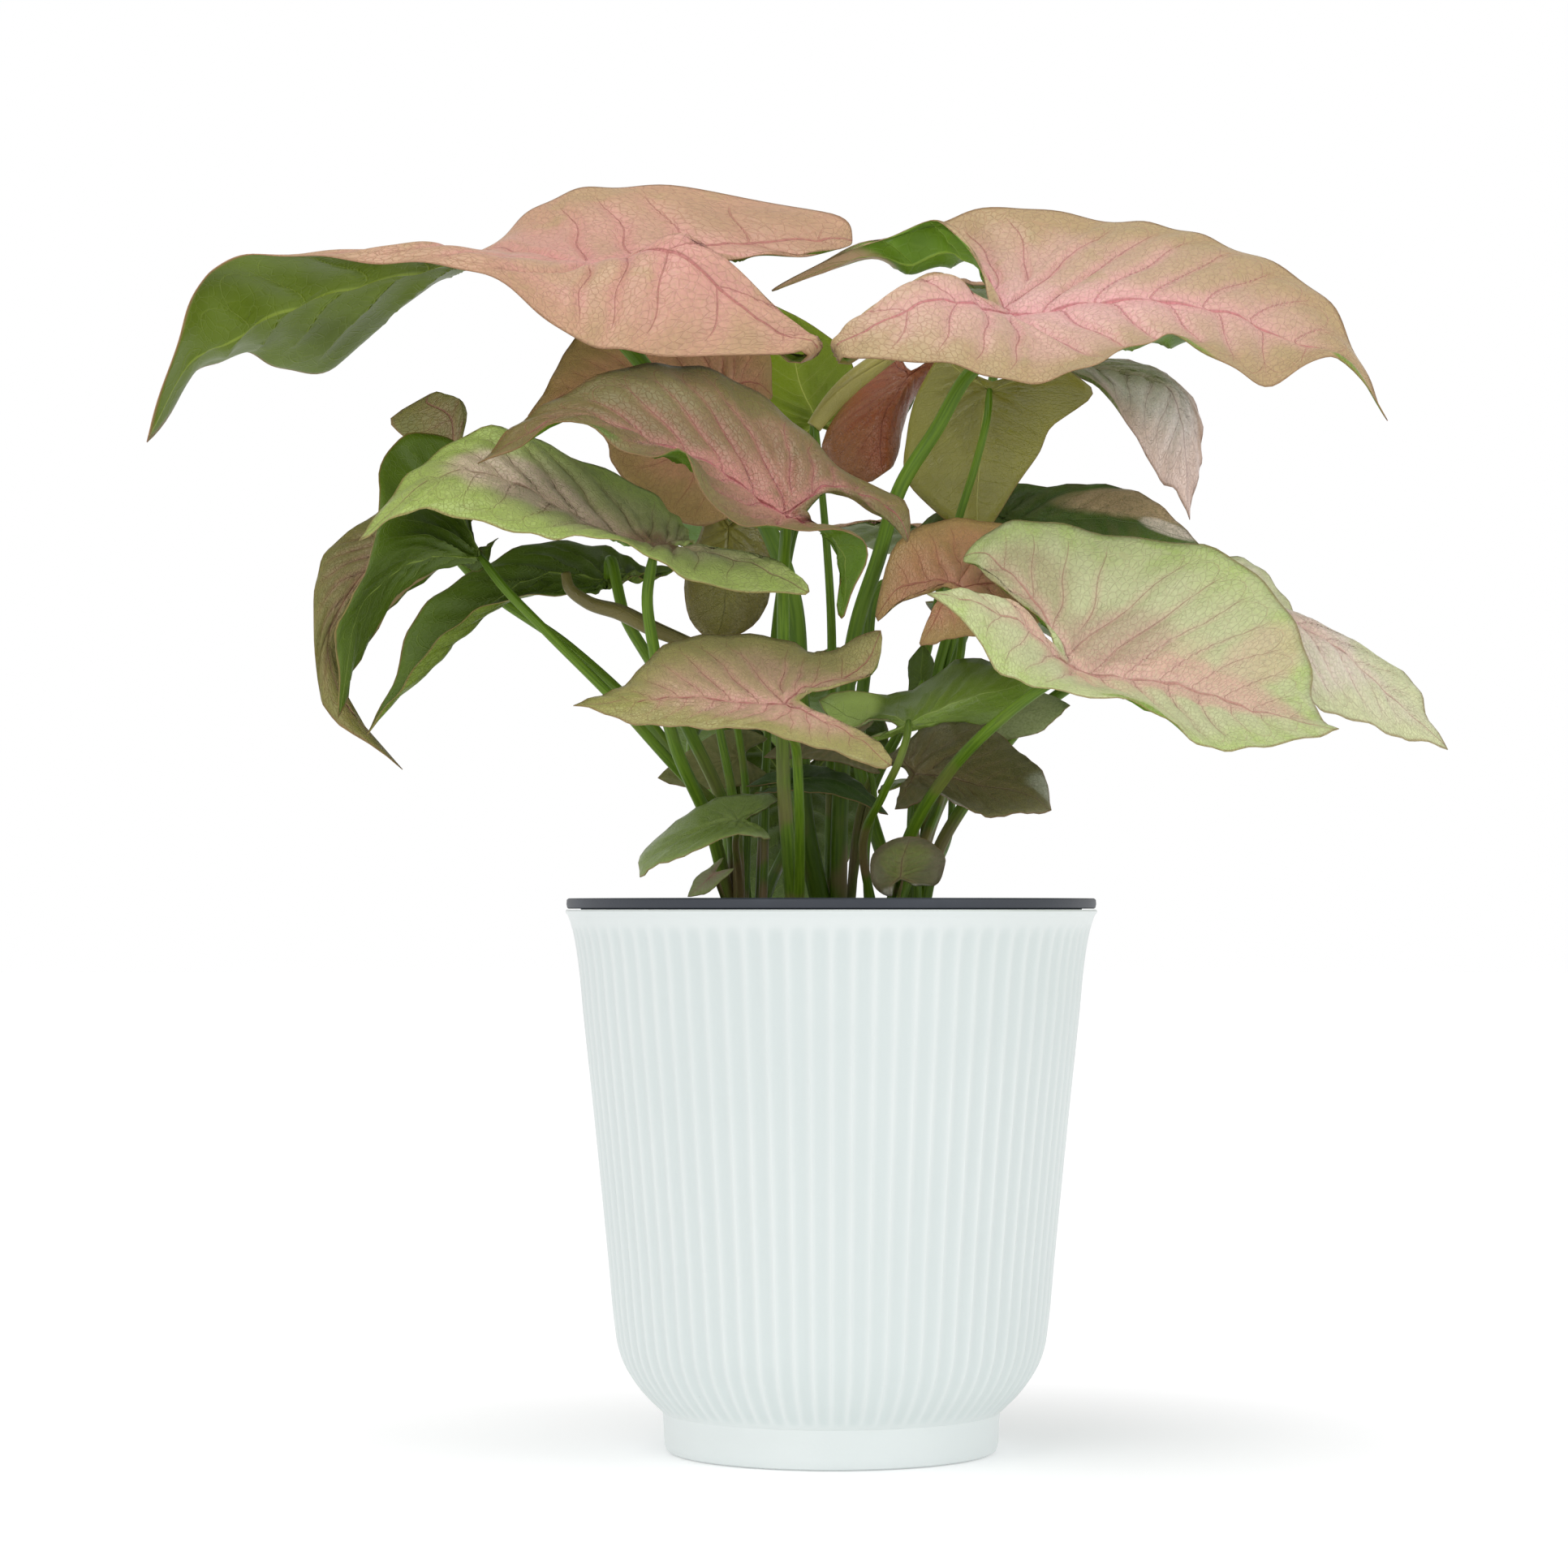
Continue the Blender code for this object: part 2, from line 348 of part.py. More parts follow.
def clear_scene():
    """Remove every object that the scene holds."""
    for item in list(bpy.data.objects):
        bpy.data.objects.remove(item, do_unlink=True)


def plain_material(name, colour, roughness):
    """Return a Principled material of one colour."""
    material = bpy.data.materials.new(name)
    material.use_nodes = True
    shader = material.node_tree.nodes["Principled BSDF"]
    shader.inputs["Base Color"].default_value = (*colour, 1.0)
    shader.inputs["Roughness"].default_value = roughness
    shader.inputs["Metallic"].default_value = 0.0
    return material


def add_solid(name, vertices, faces, colour, roughness=0.5):
    """Link a new object made of one closed mesh whose faces point out.

    Args:
        vertices: places in metres.
        faces: vertex numbers of each face, turned either way.
        colour: linear red, green and blue.
    """
    mesh = bpy.data.meshes.new(name)
    mesh.from_pydata([tuple(point) for point in vertices], [], faces)
    work = bmesh.new()
    work.from_mesh(mesh)
    bmesh.ops.recalc_face_normals(work, faces=work.faces)
    work.to_mesh(mesh)
    work.free()
    mesh.shade_smooth()
    mesh.set_sharp_from_angle(angle=math.radians(SHARP_ANGLE))
    mesh.materials.append(plain_material(name, colour, roughness))
    solid = bpy.data.objects.new(name, mesh)
    bpy.context.scene.collection.objects.link(solid)
    return solid


def join_rings(counts):
    """Return faces that join stacked rings of vertices, each as fine as the next or half or twice as fine."""
    faces = []
    starts = np.concatenate(([0], np.cumsum(counts)))
    for level in range(len(counts) - 1):
        near, far = starts[level], starts[level + 1]
        near_count, far_count = counts[level], counts[level + 1]
        if near_count == far_count:
            for i in range(near_count):
                j = (i + 1) % near_count
                faces.append((near + i, near + j, far + j, far + i))
            continue
        fine, coarse, few = (near, far, far_count) if near_count > far_count else (far, near, near_count)
        for i in range(few):
            j = (i + 1) % few
            first, middle, last = fine + 2 * i, fine + 2 * i + 1, fine + 2 * j
            faces.append((first, middle, coarse + i))
            faces.append((middle, coarse + j, coarse + i))
            faces.append((middle, last, coarse + j))
    return faces


def turned_solid(name, rings, colour, roughness):
    """Link a turned solid.

    Args:
        rings: (height, radii) pairs in millimetres, with one radius for each vertex of the ring.
    """
    vertices = []
    for height, radii in rings:
        angles = np.arange(len(radii)) * 2.0 * math.pi / len(radii)
        level = np.full(len(radii), height)
        circle = np.column_stack((radii * np.cos(angles), radii * np.sin(angles), level))
        vertices.extend(circle * MILLIMETRE)
    counts = [len(radii) for _, radii in rings]
    faces = join_rings(counts)
    faces.append(tuple(range(counts[0])))
    faces.append(tuple(range(len(vertices) - counts[-1], len(vertices))))
    return add_solid(name, vertices, faces, colour, roughness)


def plain_rings(profile, segments):
    """Return round rings for a profile of (height, radius) pairs."""
    return [(height, np.full(segments, radius)) for height, radius in profile]


def outer_pot():
    """Make the white pot, whose grooves lie between ridges on every other line of its wall."""
    groove = np.arange(2 * RIB_COUNT) % 2
    rings = plain_rings(FOOT_PROFILE, RIB_COUNT)
    last = len(FLUTED_PROFILE) - 1
    for place, (height, radius) in enumerate(FLUTED_PROFILE):
        depth = RIB_DEPTH / 2 if place in (0, last) else RIB_DEPTH
        rings.append((height, radius - depth * groove))
    rings += plain_rings(LIP_PROFILE + POT_INSIDE, RIB_COUNT)
    return turned_solid("outer_pot", rings, (0.80, 0.84, 0.83), 0.35)


def cutter(name, radius, low, high, x=0.0, y=0.0, sides=12):
    """Link a hidden upright cylinder that cuts holes."""
    rings = plain_rings([(low, radius), (high, radius)], sides)
    tool = turned_solid(name, rings, (0.5, 0.5, 0.5), 0.5)
    tool.location = (x * MILLIMETRE, y * MILLIMETRE, 0.0)
    tool.hide_render = True
    tool.display_type = "WIRE"
    return tool


def cut(solid, tool):
    """Cut a tool out of a solid."""
    modifier = solid.modifiers.new(tool.name, "BOOLEAN")
    modifier.operation = "DIFFERENCE"
    modifier.object = tool


def inner_pot():
    """Make the grower's pot, with a ring of drain holes in its floor."""
    rings = plain_rings(LINER_OUTSIDE + LINER_INSIDE, LINER_SEGMENTS)
    liner = turned_solid("inner_pot", rings, (0.03, 0.035, 0.045), 0.45)
    low, high = LINER_OUTSIDE[0][0] - 1.0, LINER_INSIDE[-1][0] + 1.0
    for number in range(DRAIN_HOLES):
        turn = math.tau * number / DRAIN_HOLES
        x, y = DRAIN_RING * math.cos(turn), DRAIN_RING * math.sin(turn)
        cut(liner, cutter(f"drain_cutter_{number + 1}", DRAIN_RADIUS, low, high, x, y))
    return liner


def potting_soil():
    """Make the soil, slightly uneven on top, with a plain hole for each crown."""
    profile = [(LINER_INSIDE[-1][0] + GAP, 43.5), (32.4, 48.0), (76.0, 55.5), (SOIL_LEVEL - 2.0, 64.0)]
    rings = plain_rings(profile, LINER_SEGMENTS)
    turn = np.arange(LINER_SEGMENTS) * math.tau / LINER_SEGMENTS
    for place, radius in enumerate((62.5, 50.0, 38.0)):
        bumps = 0.7 * np.sin(5 * turn + 2 * place) + 0.5 * np.cos(11 * turn + place)
        rings.append((SOIL_LEVEL + bumps, np.full(LINER_SEGMENTS, radius)))
    rings.append((SOIL_LEVEL, np.full(LINER_SEGMENTS, 34.0)))
    soil = turned_solid("potting_soil", rings, (0.045, 0.028, 0.018), 0.95)
    for name, (x, y) in CROWNS.items():
        hole = CROWN_RADIUS + CROWN_CLEARANCE
        cut(soil, cutter(f"{name}_crown_cutter", hole, CROWN_FOOT - 1.0, SOIL_LEVEL + 4.0, x, y, sides=16))
    return soil


def seen_point(x, z, depth):
    """Carry a table point along its line of sight to its real place in metres."""
    stretch = 1.0 + depth / EYE_DISTANCE
    return np.array((x * stretch, depth, EYE_HEIGHT + (z - EYE_HEIGHT) * stretch)) * MILLIMETRE


def plate(distance):
    """Return the bending of a thin plate at a distance from one landmark."""
    return distance**2 * np.log(np.maximum(distance, 1e-9))


def leaf_surface(places):
    """Return the map that bends the flat leaf like a thin plate through its landmarks.

    Args:
        places: the real place in metres of each landmark by name.
    """
    flat = np.array([FLAT_PLACES[name] for name in places])
    solid = np.array(list(places.values()))
    count = len(flat)
    apart = np.linalg.norm(flat[:, None] - flat[None], axis=2)
    level = np.hstack((np.ones((count, 1)), flat))
    system = np.block([
        [plate(apart) + SPLINE_EASE * np.eye(count), level],
        [level.T, np.zeros((3, 3))],
    ])
    weights = np.linalg.solve(system, np.vstack((solid, np.zeros((3, 3)))))

    def carry(points):
        reach = np.linalg.norm(points[:, None] - flat[None], axis=2)
        ground = np.hstack((np.ones((len(points), 1)), points))
        return plate(reach) @ weights[:count] + ground @ weights[count:]

    return carry


def upper_normals(carry, points):
    """Return the unit normals of a leaf's upper face at flat points."""
    along = carry(points + (NORMAL_STEP, 0.0)) - carry(points - (NORMAL_STEP, 0.0))
    across = carry(points + (0.0, NORMAL_STEP)) - carry(points - (0.0, NORMAL_STEP))
    normals = np.cross(along, across)
    return normals / np.maximum(np.linalg.norm(normals, axis=1, keepdims=True), 1e-12)


def flat_leaf(detailed, small):
    """Return the flat leaf's points and its triangles, in rings round the stalk's joint."""
    margin = MARGIN if detailed else [MARGIN[i] for i in COARSE_MARGIN]
    half = [FLAT_PLACES["tip"], *margin, FLAT_PLACES["cleft"]]
    other = [(u, -v) for u, v in reversed(half[1:-1])]
    outline = np.array(half + other)
    centre = np.array(LEAF_CENTRE)
    shares = SMALL_LEAF_RINGS if small else LEAF_RINGS
    points = np.vstack([centre[None]] + [centre + (outline - centre) * share for share in shares])
    around = len(outline)
    triangles = [(0, 1 + i, 1 + (i + 1) % around) for i in range(around)]
    for ring in range(len(shares) - 1):
        near, far = 1 + ring * around, 1 + (ring + 1) * around
        for i in range(around):
            j = (i + 1) % around
            triangles.append((near + i, far + i, far + j))
            triangles.append((near + i, far + j, near + j))
    return points, triangles, around


def blade(name, carry, colour, detailed, small):
    """Make one leaf blade, split into triangles alike on both faces.

    Args:
        carry: the map from the flat leaf to its real surface.
        detailed: whether the margin keeps all its points.
        small: whether two rings of points are enough.
    """
    points, triangles, around = flat_leaf(detailed, small)
    middle = carry(points)
    offset = upper_normals(carry, points) * LEAF_THICKNESS * MILLIMETRE / 2
    count = len(points)
    faces = list(triangles)
    faces += [(c + count, b + count, a + count) for a, b, c in triangles]
    rim = count - around
    for i in range(around):
        first, second = rim + i, rim + (i + 1) % around
        faces.append((first, first + count, second + count))
        faces.append((first, second + count, second))
    return add_solid(name, np.vstack((middle + offset, middle - offset)), faces, colour, 0.42)


def smooth_way(points, count):
    """Return evenly spaced points of a smooth curve through the given points."""
    points = np.asarray(points, dtype=float)
    length = np.concatenate(([0.0], np.cumsum(np.linalg.norm(np.diff(points, axis=0), axis=1))))
    slopes = np.gradient(points, length, axis=0)
    at = np.linspace(0.0, length[-1], count)
    piece = np.clip(np.searchsorted(length, at, side="right") - 1, 0, len(length) - 2)
    span = (length[piece + 1] - length[piece])[:, None]
    s = (at - length[piece])[:, None] / span
    start = (2 * s**3 - 3 * s**2 + 1) * points[piece] + (s**3 - 2 * s**2 + s) * span * slopes[piece]
    finish = (3 * s**2 - 2 * s**3) * points[piece + 1] + (s**3 - s**2) * span * slopes[piece + 1]
    return start + finish


def tube(way, radii, sides=STEM_SIDES):
    """Return the vertices and faces of a closed tube along a way."""
    forward = np.gradient(way, axis=0)
    forward /= np.linalg.norm(forward, axis=1, keepdims=True)
    side = np.cross(forward[0], (0.3, 1.0, 0.1))
    vertices = []
    for point, ahead, radius in zip(way, forward, radii):
        side = side - ahead * np.dot(side, ahead)
        side /= np.linalg.norm(side)
        other = np.cross(ahead, side)
        for number in range(sides):
            turn = math.tau * number / sides
            vertices.append(point + radius * (side * math.cos(turn) + other * math.sin(turn)))
    faces = join_rings([sides] * len(way))
    faces.append(tuple(range(sides)))
    faces.append(tuple(range(len(vertices) - sides, len(vertices))))
    return vertices, faces


def stalk_way(crown, table_points, end_points):
    """Return a stalk's smooth way from inside its crown to the points under its leaf.

    Args:
        table_points: real places between the crown and the leaf.
        end_points: the last one or two places, under the blade.
    """
    x, y = CROWNS[crown]
    first = table_points[0] if len(table_points) else end_points[0]
    lean = np.array((first[0] - x * MILLIMETRE, first[1] - y * MILLIMETRE))
    reach = min(1.0, STALK_LEAN * MILLIMETRE / max(np.linalg.norm(lean), 1e-9))
    root = np.array((x, y, SOIL_LEVEL - STALK_ROOT_DEPTH)) * MILLIMETRE
    collar = root + np.array((lean[0] * reach, lean[1] * reach, STALK_COLLAR_RISE * MILLIMETRE))
    points = [root, collar, *table_points, *end_points]
    length = np.linalg.norm(np.diff(points, axis=0), axis=1).sum()
    return smooth_way(points, 5 + int(length / (STALK_STEP * MILLIMETRE)))


def leaf_places(entry):
    """Return the real places of a leaf's landmarks by name."""
    return {name: seen_point(*entry[name]) for name in FLAT_PLACES if name in entry}


def far_leaf_places(entry):
    """Return the landmarks of a far side leaf, which arches down along its heading."""
    turn, fall, length = math.radians(entry["heading"]), math.radians(entry["fall"]), entry["length"]
    ahead = np.array((math.cos(turn), math.sin(turn)))
    left = np.array((-math.sin(turn), math.cos(turn)))
    places = {}
    for name, (u, v) in FLAT_PLACES.items():
        level = length * (u * math.cos(fall) * ahead + FAR_WIDTH * v * left)
        rise = length * (-u * math.sin(fall) - FAR_DROOP * u * u + FAR_LIFT * abs(v) - FAR_ROLL * v * v)
        x, y, z = entry["knot"]
        places[name] = np.array((x + level[0], y + level[1], z + rise)) * MILLIMETRE
    return places


def stalk_solid(entry, places, carry):
    """Return the vertices and faces of one leaf's stalk, which ends just under its blade."""
    knot = places["knot"]
    under = -upper_normals(carry, np.zeros((1, 2)))[0]
    table = [seen_point(*point) for point in entry.get("stalk", [])]
    ends = [knot + under * STEM_CLEARANCE * MILLIMETRE]
    bend = knot + under * STALK_BEND * MILLIMETRE
    if not table or np.linalg.norm(table[-1] - bend) > STALK_BEND_SPACING * MILLIMETRE:
        ends.insert(0, bend)
    way = stalk_way(entry["crown"], table, ends)
    long = np.linalg.norm(places["tip"] - knot) / MILLIMETRE
    top = (STALK_LEAST_RADIUS + STALK_WIDTH_PER_LENGTH * long) * MILLIMETRE
    radii = np.linspace(top * STALK_FOOT_WIDENING, top, len(way))
    radii[-1] = STALK_END_SHARE * top
    return tube(way, radii)


def rolled_leaf(name, entry):
    """Make a rolled young leaf and return the vertices and faces of its stalk."""
    points = [seen_point(*point) for point in entry["way"]]
    way = smooth_way(points, 12)
    share = np.linspace(0.0, 1.0, len(way))
    radii = entry["radius"] * MILLIMETRE * (0.45 + 0.55 * np.sin(math.pi * (0.16 + 0.74 * share)))
    vertices, faces = tube(way, radii, 8)
    add_solid(name, vertices, faces, entry["colour"], 0.45)
    back = way[0] - way[1]
    end = way[0] + back / np.linalg.norm(back) * 2.0 * GAP * MILLIMETRE
    stalk = stalk_way(entry["crown"], [seen_point(*point) for point in entry["stalk"]], [end])
    return tube(stalk, np.linspace(*YOUNG_STALK_RADII, len(stalk)) * MILLIMETRE)


def leafy_stem(crown, stalks):
    """Fuse a plantlet's stalks with its crown into one solid."""
    x, y = CROWNS[crown]
    count = len(CROWN_TAPER)
    heights = np.linspace(CROWN_FOOT, CROWN_TOP, count)
    way = np.column_stack((np.full(count, x), np.full(count, y), heights)) * MILLIMETRE
    radii = CROWN_RADIUS * MILLIMETRE * np.array(CROWN_TAPER)
    vertices, faces = tube(way, radii, CROWN_SIDES)
    stem = add_solid(f"{crown}_leafy_stem", vertices, faces, STALK_COLOUR, 0.45)
    group = bpy.data.collections.new(f"{crown}_stalks")
    bpy.context.scene.collection.children.link(group)
    for number, (stalk_vertices, stalk_faces) in enumerate(stalks, start=1):
        stalk = add_solid(f"{crown}_stalk_{number}", stalk_vertices, stalk_faces, STALK_COLOUR)
        bpy.context.scene.collection.objects.unlink(stalk)
        group.objects.link(stalk)
    union = stem.modifiers.new("stalks", "BOOLEAN")
    union.operation = "UNION"
    union.operand_type = "COLLECTION"
    union.collection = group
    union.solver = "MANIFOLD"
    bpy.context.view_layer.update()
    shape = bpy.data.meshes.new_from_object(stem.evaluated_get(bpy.context.evaluated_depsgraph_get()))
    stem.modifiers.clear()
    stem.data = shape
    for stalk in list(group.objects):
        bpy.data.objects.remove(stalk, do_unlink=True)
    bpy.data.collections.remove(group)
    return stem


def plant():
    """Make every leaf blade, then each plantlet's stem with the stalks that it carries."""
    stalks = {crown: [] for crown in CROWNS}
    for name, entry in {**LEAVES, **FAR_LEAVES}.items():
        far = name in FAR_LEAVES
        places = far_leaf_places(entry) if far else leaf_places(entry)
        carry = leaf_surface(places)
        small = far or np.linalg.norm(places["tip"] - places["knot"]) < SMALL_LEAF_LENGTH * MILLIMETRE
        blade(name, carry, entry["colour"], len(places) > DETAILED_LANDMARKS and not far, small)
        stalks[entry["crown"]].append(stalk_solid(entry, places, carry))
    for name, entry in ROLLED_LEAVES.items():
        stalks[entry["crown"]].append(rolled_leaf(name, entry))
    for crown, parts in stalks.items():
        leafy_stem(crown, parts)


def main():
    """Build the pot, the liner, the soil and the plant."""
    clear_scene()
    outer_pot()
    inner_pot()
    potting_soil()
    plant()


main()
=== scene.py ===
"""Looks of the arrowhead plant: fine leaves and stalks, fluted pot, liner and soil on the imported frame.

Tables are in millimetres and meshes in metres. The origin is the centre of the pot's foot, +Z is up and
-Y points to the side that the camera sees.
"""

import logging
import math
from collections.abc import Callable, Sequence
from dataclasses import dataclass
from enum import Enum

import bpy
import numpy as np
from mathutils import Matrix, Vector


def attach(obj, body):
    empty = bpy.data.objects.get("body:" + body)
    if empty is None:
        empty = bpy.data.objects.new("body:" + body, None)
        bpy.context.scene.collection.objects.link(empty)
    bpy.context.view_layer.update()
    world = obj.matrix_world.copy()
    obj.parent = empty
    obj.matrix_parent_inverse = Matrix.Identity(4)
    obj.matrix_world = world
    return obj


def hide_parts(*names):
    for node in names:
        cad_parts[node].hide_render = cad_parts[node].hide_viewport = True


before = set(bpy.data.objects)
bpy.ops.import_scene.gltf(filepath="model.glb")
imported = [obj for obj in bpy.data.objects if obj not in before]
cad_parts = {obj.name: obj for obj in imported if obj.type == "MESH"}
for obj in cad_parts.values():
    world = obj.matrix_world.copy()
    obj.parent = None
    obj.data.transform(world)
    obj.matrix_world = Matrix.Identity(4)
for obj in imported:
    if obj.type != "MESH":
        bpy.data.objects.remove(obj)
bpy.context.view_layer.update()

LOG = logging.getLogger("arrowhead_plant")
MILLIMETRE = 0.001
Colour = tuple[float, float, float]
Carry = Callable[[np.ndarray], np.ndarray]


def tone(red: int, green: int, blue: int) -> Colour:
    """Return a screen colour, 0 to 255, as linear light.

    Args:
        red: the red part.
        green: the green part.
        blue: the blue part.

    Returns:
        The colour that a shader takes.
    """
    parts = [value / 255.0 for value in (red, green, blue)]
    return tuple(p / 12.92 if p <= 0.04045 else ((p + 0.055) / 1.055) ** 2.4 for p in parts)


class Value:
    """A number socket of a shader that takes part in Python arithmetic."""

    def __init__(self, paint: "Paint", socket: bpy.types.NodeSocket) -> None:
        """Keep the socket and the material that it is in."""
        self.paint = paint
        self.socket = socket

    def __add__(self, other: "Value | float") -> "Value":
        """Return the sum."""
        return self.paint.math("ADD", self, other)

    def __radd__(self, other: float) -> "Value":
        """Return the sum."""
        return self.paint.math("ADD", other, self)

    def __sub__(self, other: "Value | float") -> "Value":
        """Return the difference."""
        return self.paint.math("SUBTRACT", self, other)

    def __rsub__(self, other: float) -> "Value":
        """Return the difference the other way round."""
        return self.paint.math("SUBTRACT", other, self)

    def __mul__(self, other: "Value | float") -> "Value":
        """Return the product."""
        return self.paint.math("MULTIPLY", self, other)

    def __rmul__(self, other: float) -> "Value":
        """Return the product."""
        return self.paint.math("MULTIPLY", other, self)

    def __truediv__(self, other: "Value | float") -> "Value":
        """Return the quotient."""
        return self.paint.math("DIVIDE", self, other)

    def __mod__(self, other: float) -> "Value":
        """Return what is left after whole steps of the other value."""
        return self.paint.math("FLOORED_MODULO", self, other)

    def __abs__(self) -> "Value":
        """Return the value without its sign."""
        return self.paint.math("ABSOLUTE", self)


class Paint:
    """The node tree of one material."""

    def __init__(self, name: str) -> None:
        """Start an empty tree."""
        self.material = bpy.data.materials.new(name)
        self.material.use_nodes = True
        self.tree = self.material.node_tree
        self.tree.nodes.clear()

    def node(self, kind: str, settings: dict, inputs: dict) -> bpy.types.Node:
        """Add a node.

        Args:
            kind: Blender's name of the node's type.
            settings: the node's own settings, which are set first.
            inputs: values or links of its sockets, by name or number.

        Returns:
            The new node.
        """
        node = self.tree.nodes.new(kind)
        for key, value in settings.items():
            setattr(node, key, value)
        for key, value in inputs.items():
            socket = node.inputs[key]
            source = value.socket if isinstance(value, Value) else value
            if isinstance(source, bpy.types.NodeSocket):
                self.tree.links.new(source, socket)
            elif socket.type == "RGBA":
                socket.default_value = (*source, 1.0)
            else:
                socket.default_value = source
        return node

    def math(self, operation: str, *values: Value | float) -> Value:
        """Return the result of one Math node."""
        node = self.node("ShaderNodeMath", {"operation": operation}, dict(enumerate(values)))
        return Value(self, node.outputs[0])

    def step(self, value: Value, low: float, high: float) -> Value:
        """Return a smooth step from 0 at low to 1 at high."""
        inputs = {"Value": value, "From Min": low, "From Max": high}
        node = self.node("ShaderNodeMapRange", {"interpolation_type": "SMOOTHSTEP"}, inputs)
        return Value(self, node.outputs["Result"])

    def place(self) -> bpy.types.NodeSocket:
        """Return the place on the piece, in metres."""
        return self.node("ShaderNodeTexCoord", {}, {}).outputs["Object"]

    def attribute(self, name: str) -> bpy.types.NodeSocket:
        """Return a vector that the mesh holds."""
        return self.node("ShaderNodeAttribute", {"attribute_name": name}, {}).outputs["Vector"]

    def parts(self, vector: bpy.types.NodeSocket) -> tuple[Value, Value, Value]:
        """Return the three numbers of a vector."""
        node = self.node("ShaderNodeSeparateXYZ", {}, {"Vector": vector})
        return tuple(Value(self, socket) for socket in node.outputs)

    def stretched(self, vector: bpy.types.NodeSocket, scale: Sequence[float]) -> bpy.types.NodeSocket:
        """Return a vector with each part multiplied."""
        node = self.node("ShaderNodeVectorMath", {"operation": "MULTIPLY"}, {0: vector, 1: tuple(scale)})
        return node.outputs["Vector"]

    def noise(self, place: bpy.types.NodeSocket, scale: float, detail: float = 3.0) -> Value:
        """Return cloudy noise about 0.5 with a number of waves for each unit."""
        node = self.node("ShaderNodeTexNoise", {}, {"Vector": place, "Scale": scale, "Detail": detail})
        return Value(self, node.outputs["Fac"])

    def cracks(self, place: bpy.types.NodeSocket, scale: float) -> Value:
        """Return the distance from the walls between scattered cells."""
        settings = {"feature": "DISTANCE_TO_EDGE"}
        node = self.node("ShaderNodeTexVoronoi", settings, {"Vector": place, "Scale": scale})
        return Value(self, node.outputs["Distance"])

    def specks(self, place: bpy.types.NodeSocket, scale: float) -> Value:
        """Return the distance from the middles of scattered cells."""
        node = self.node("ShaderNodeTexVoronoi", {}, {"Vector": place, "Scale": scale})
        return Value(self, node.outputs["Distance"])

    def mix(
        self,
        amount: Value | float,
        low: bpy.types.NodeSocket | Colour,
        high: bpy.types.NodeSocket | Colour,
        blend: str = "MIX",
    ) -> bpy.types.NodeSocket:
        """Return a colour between two colours.

        Args:
            amount: 0 for the first colour and 1 for the second.
            low: the first colour.
            high: the second colour.
            blend: how the second one acts on the first.

        Returns:
            The mixed colour.
        """
        settings = {"data_type": "RGBA", "blend_type": blend, "clamp_factor": True}
        return self.node("ShaderNodeMix", settings, {0: amount, 6: low, 7: high}).outputs[2]

    def finish(self, colour: bpy.types.NodeSocket, rough: Value | float, height: Value, **fixed) -> bpy.types.Material:
        """Close the tree with a surface.

        Args:
            colour: the surface's colour.
            rough: its roughness.
            height: its small relief, in parts of the bump's distance.
            fixed: distance of the bump in metres, and fixed values of the shader's sockets by name.

        Returns:
            The material.
        """
        distance = fixed.pop("distance", 0.0004)
        bump = self.node("ShaderNodeBump", {}, {"Strength": 0.6, "Distance": distance, "Height": height})
        inputs = {"Base Color": colour, "Roughness": rough, "Normal": bump.outputs["Normal"]}
        inputs.update({name.replace("_", " "): value for name, value in fixed.items()})
        shader = self.node("ShaderNodeBsdfPrincipled", {}, inputs)
        self.node("ShaderNodeOutputMaterial", {}, {"Surface": shader.outputs["BSDF"]})
        return self.material


def smooth(value: Value | np.ndarray, low: float, high: float) -> Value | np.ndarray:
    """Return a smooth step from 0 at low to 1 at high, for an array or a socket."""
    if isinstance(value, Value):
        return value.paint.step(value, low, high)
    share = np.clip((value - low) / (high - low), 0.0, 1.0)
    return share * share * (3.0 - 2.0 * share)


def greatest(first: Value | np.ndarray, second: Value | np.ndarray) -> Value | np.ndarray:
    """Return the larger of two arrays or sockets."""
    if isinstance(first, Value):
        return first.paint.math("MAXIMUM", first, second)
    return np.maximum(first, second)


def sine(value: Value | np.ndarray) -> Value | np.ndarray:
    """Return the sine of an array or a socket."""
    return value.paint.math("SINE", value) if isinstance(value, Value) else np.sin(value)


@dataclass(frozen=True)
class Sight:
    """The eye that the tables are seen from, in millimetres before the pot's axis and above its foot."""

    distance: float = 1200.0
    height: float = 152.0

    def place(self, x: float, z: float, depth: float) -> np.ndarray:
        """Carry a table point along its line of sight.

        Args:
            x: its place to the right, as seen on the upright plane through the axis.
            z: its height as seen on that plane.
            depth: how far behind the plane it is.

        Returns:
            The real place in metres.
        """
        stretch = 1.0 + depth / self.distance
        return np.array((x * stretch, depth, self.height + (z - self.height) * stretch)) * MILLIMETRE


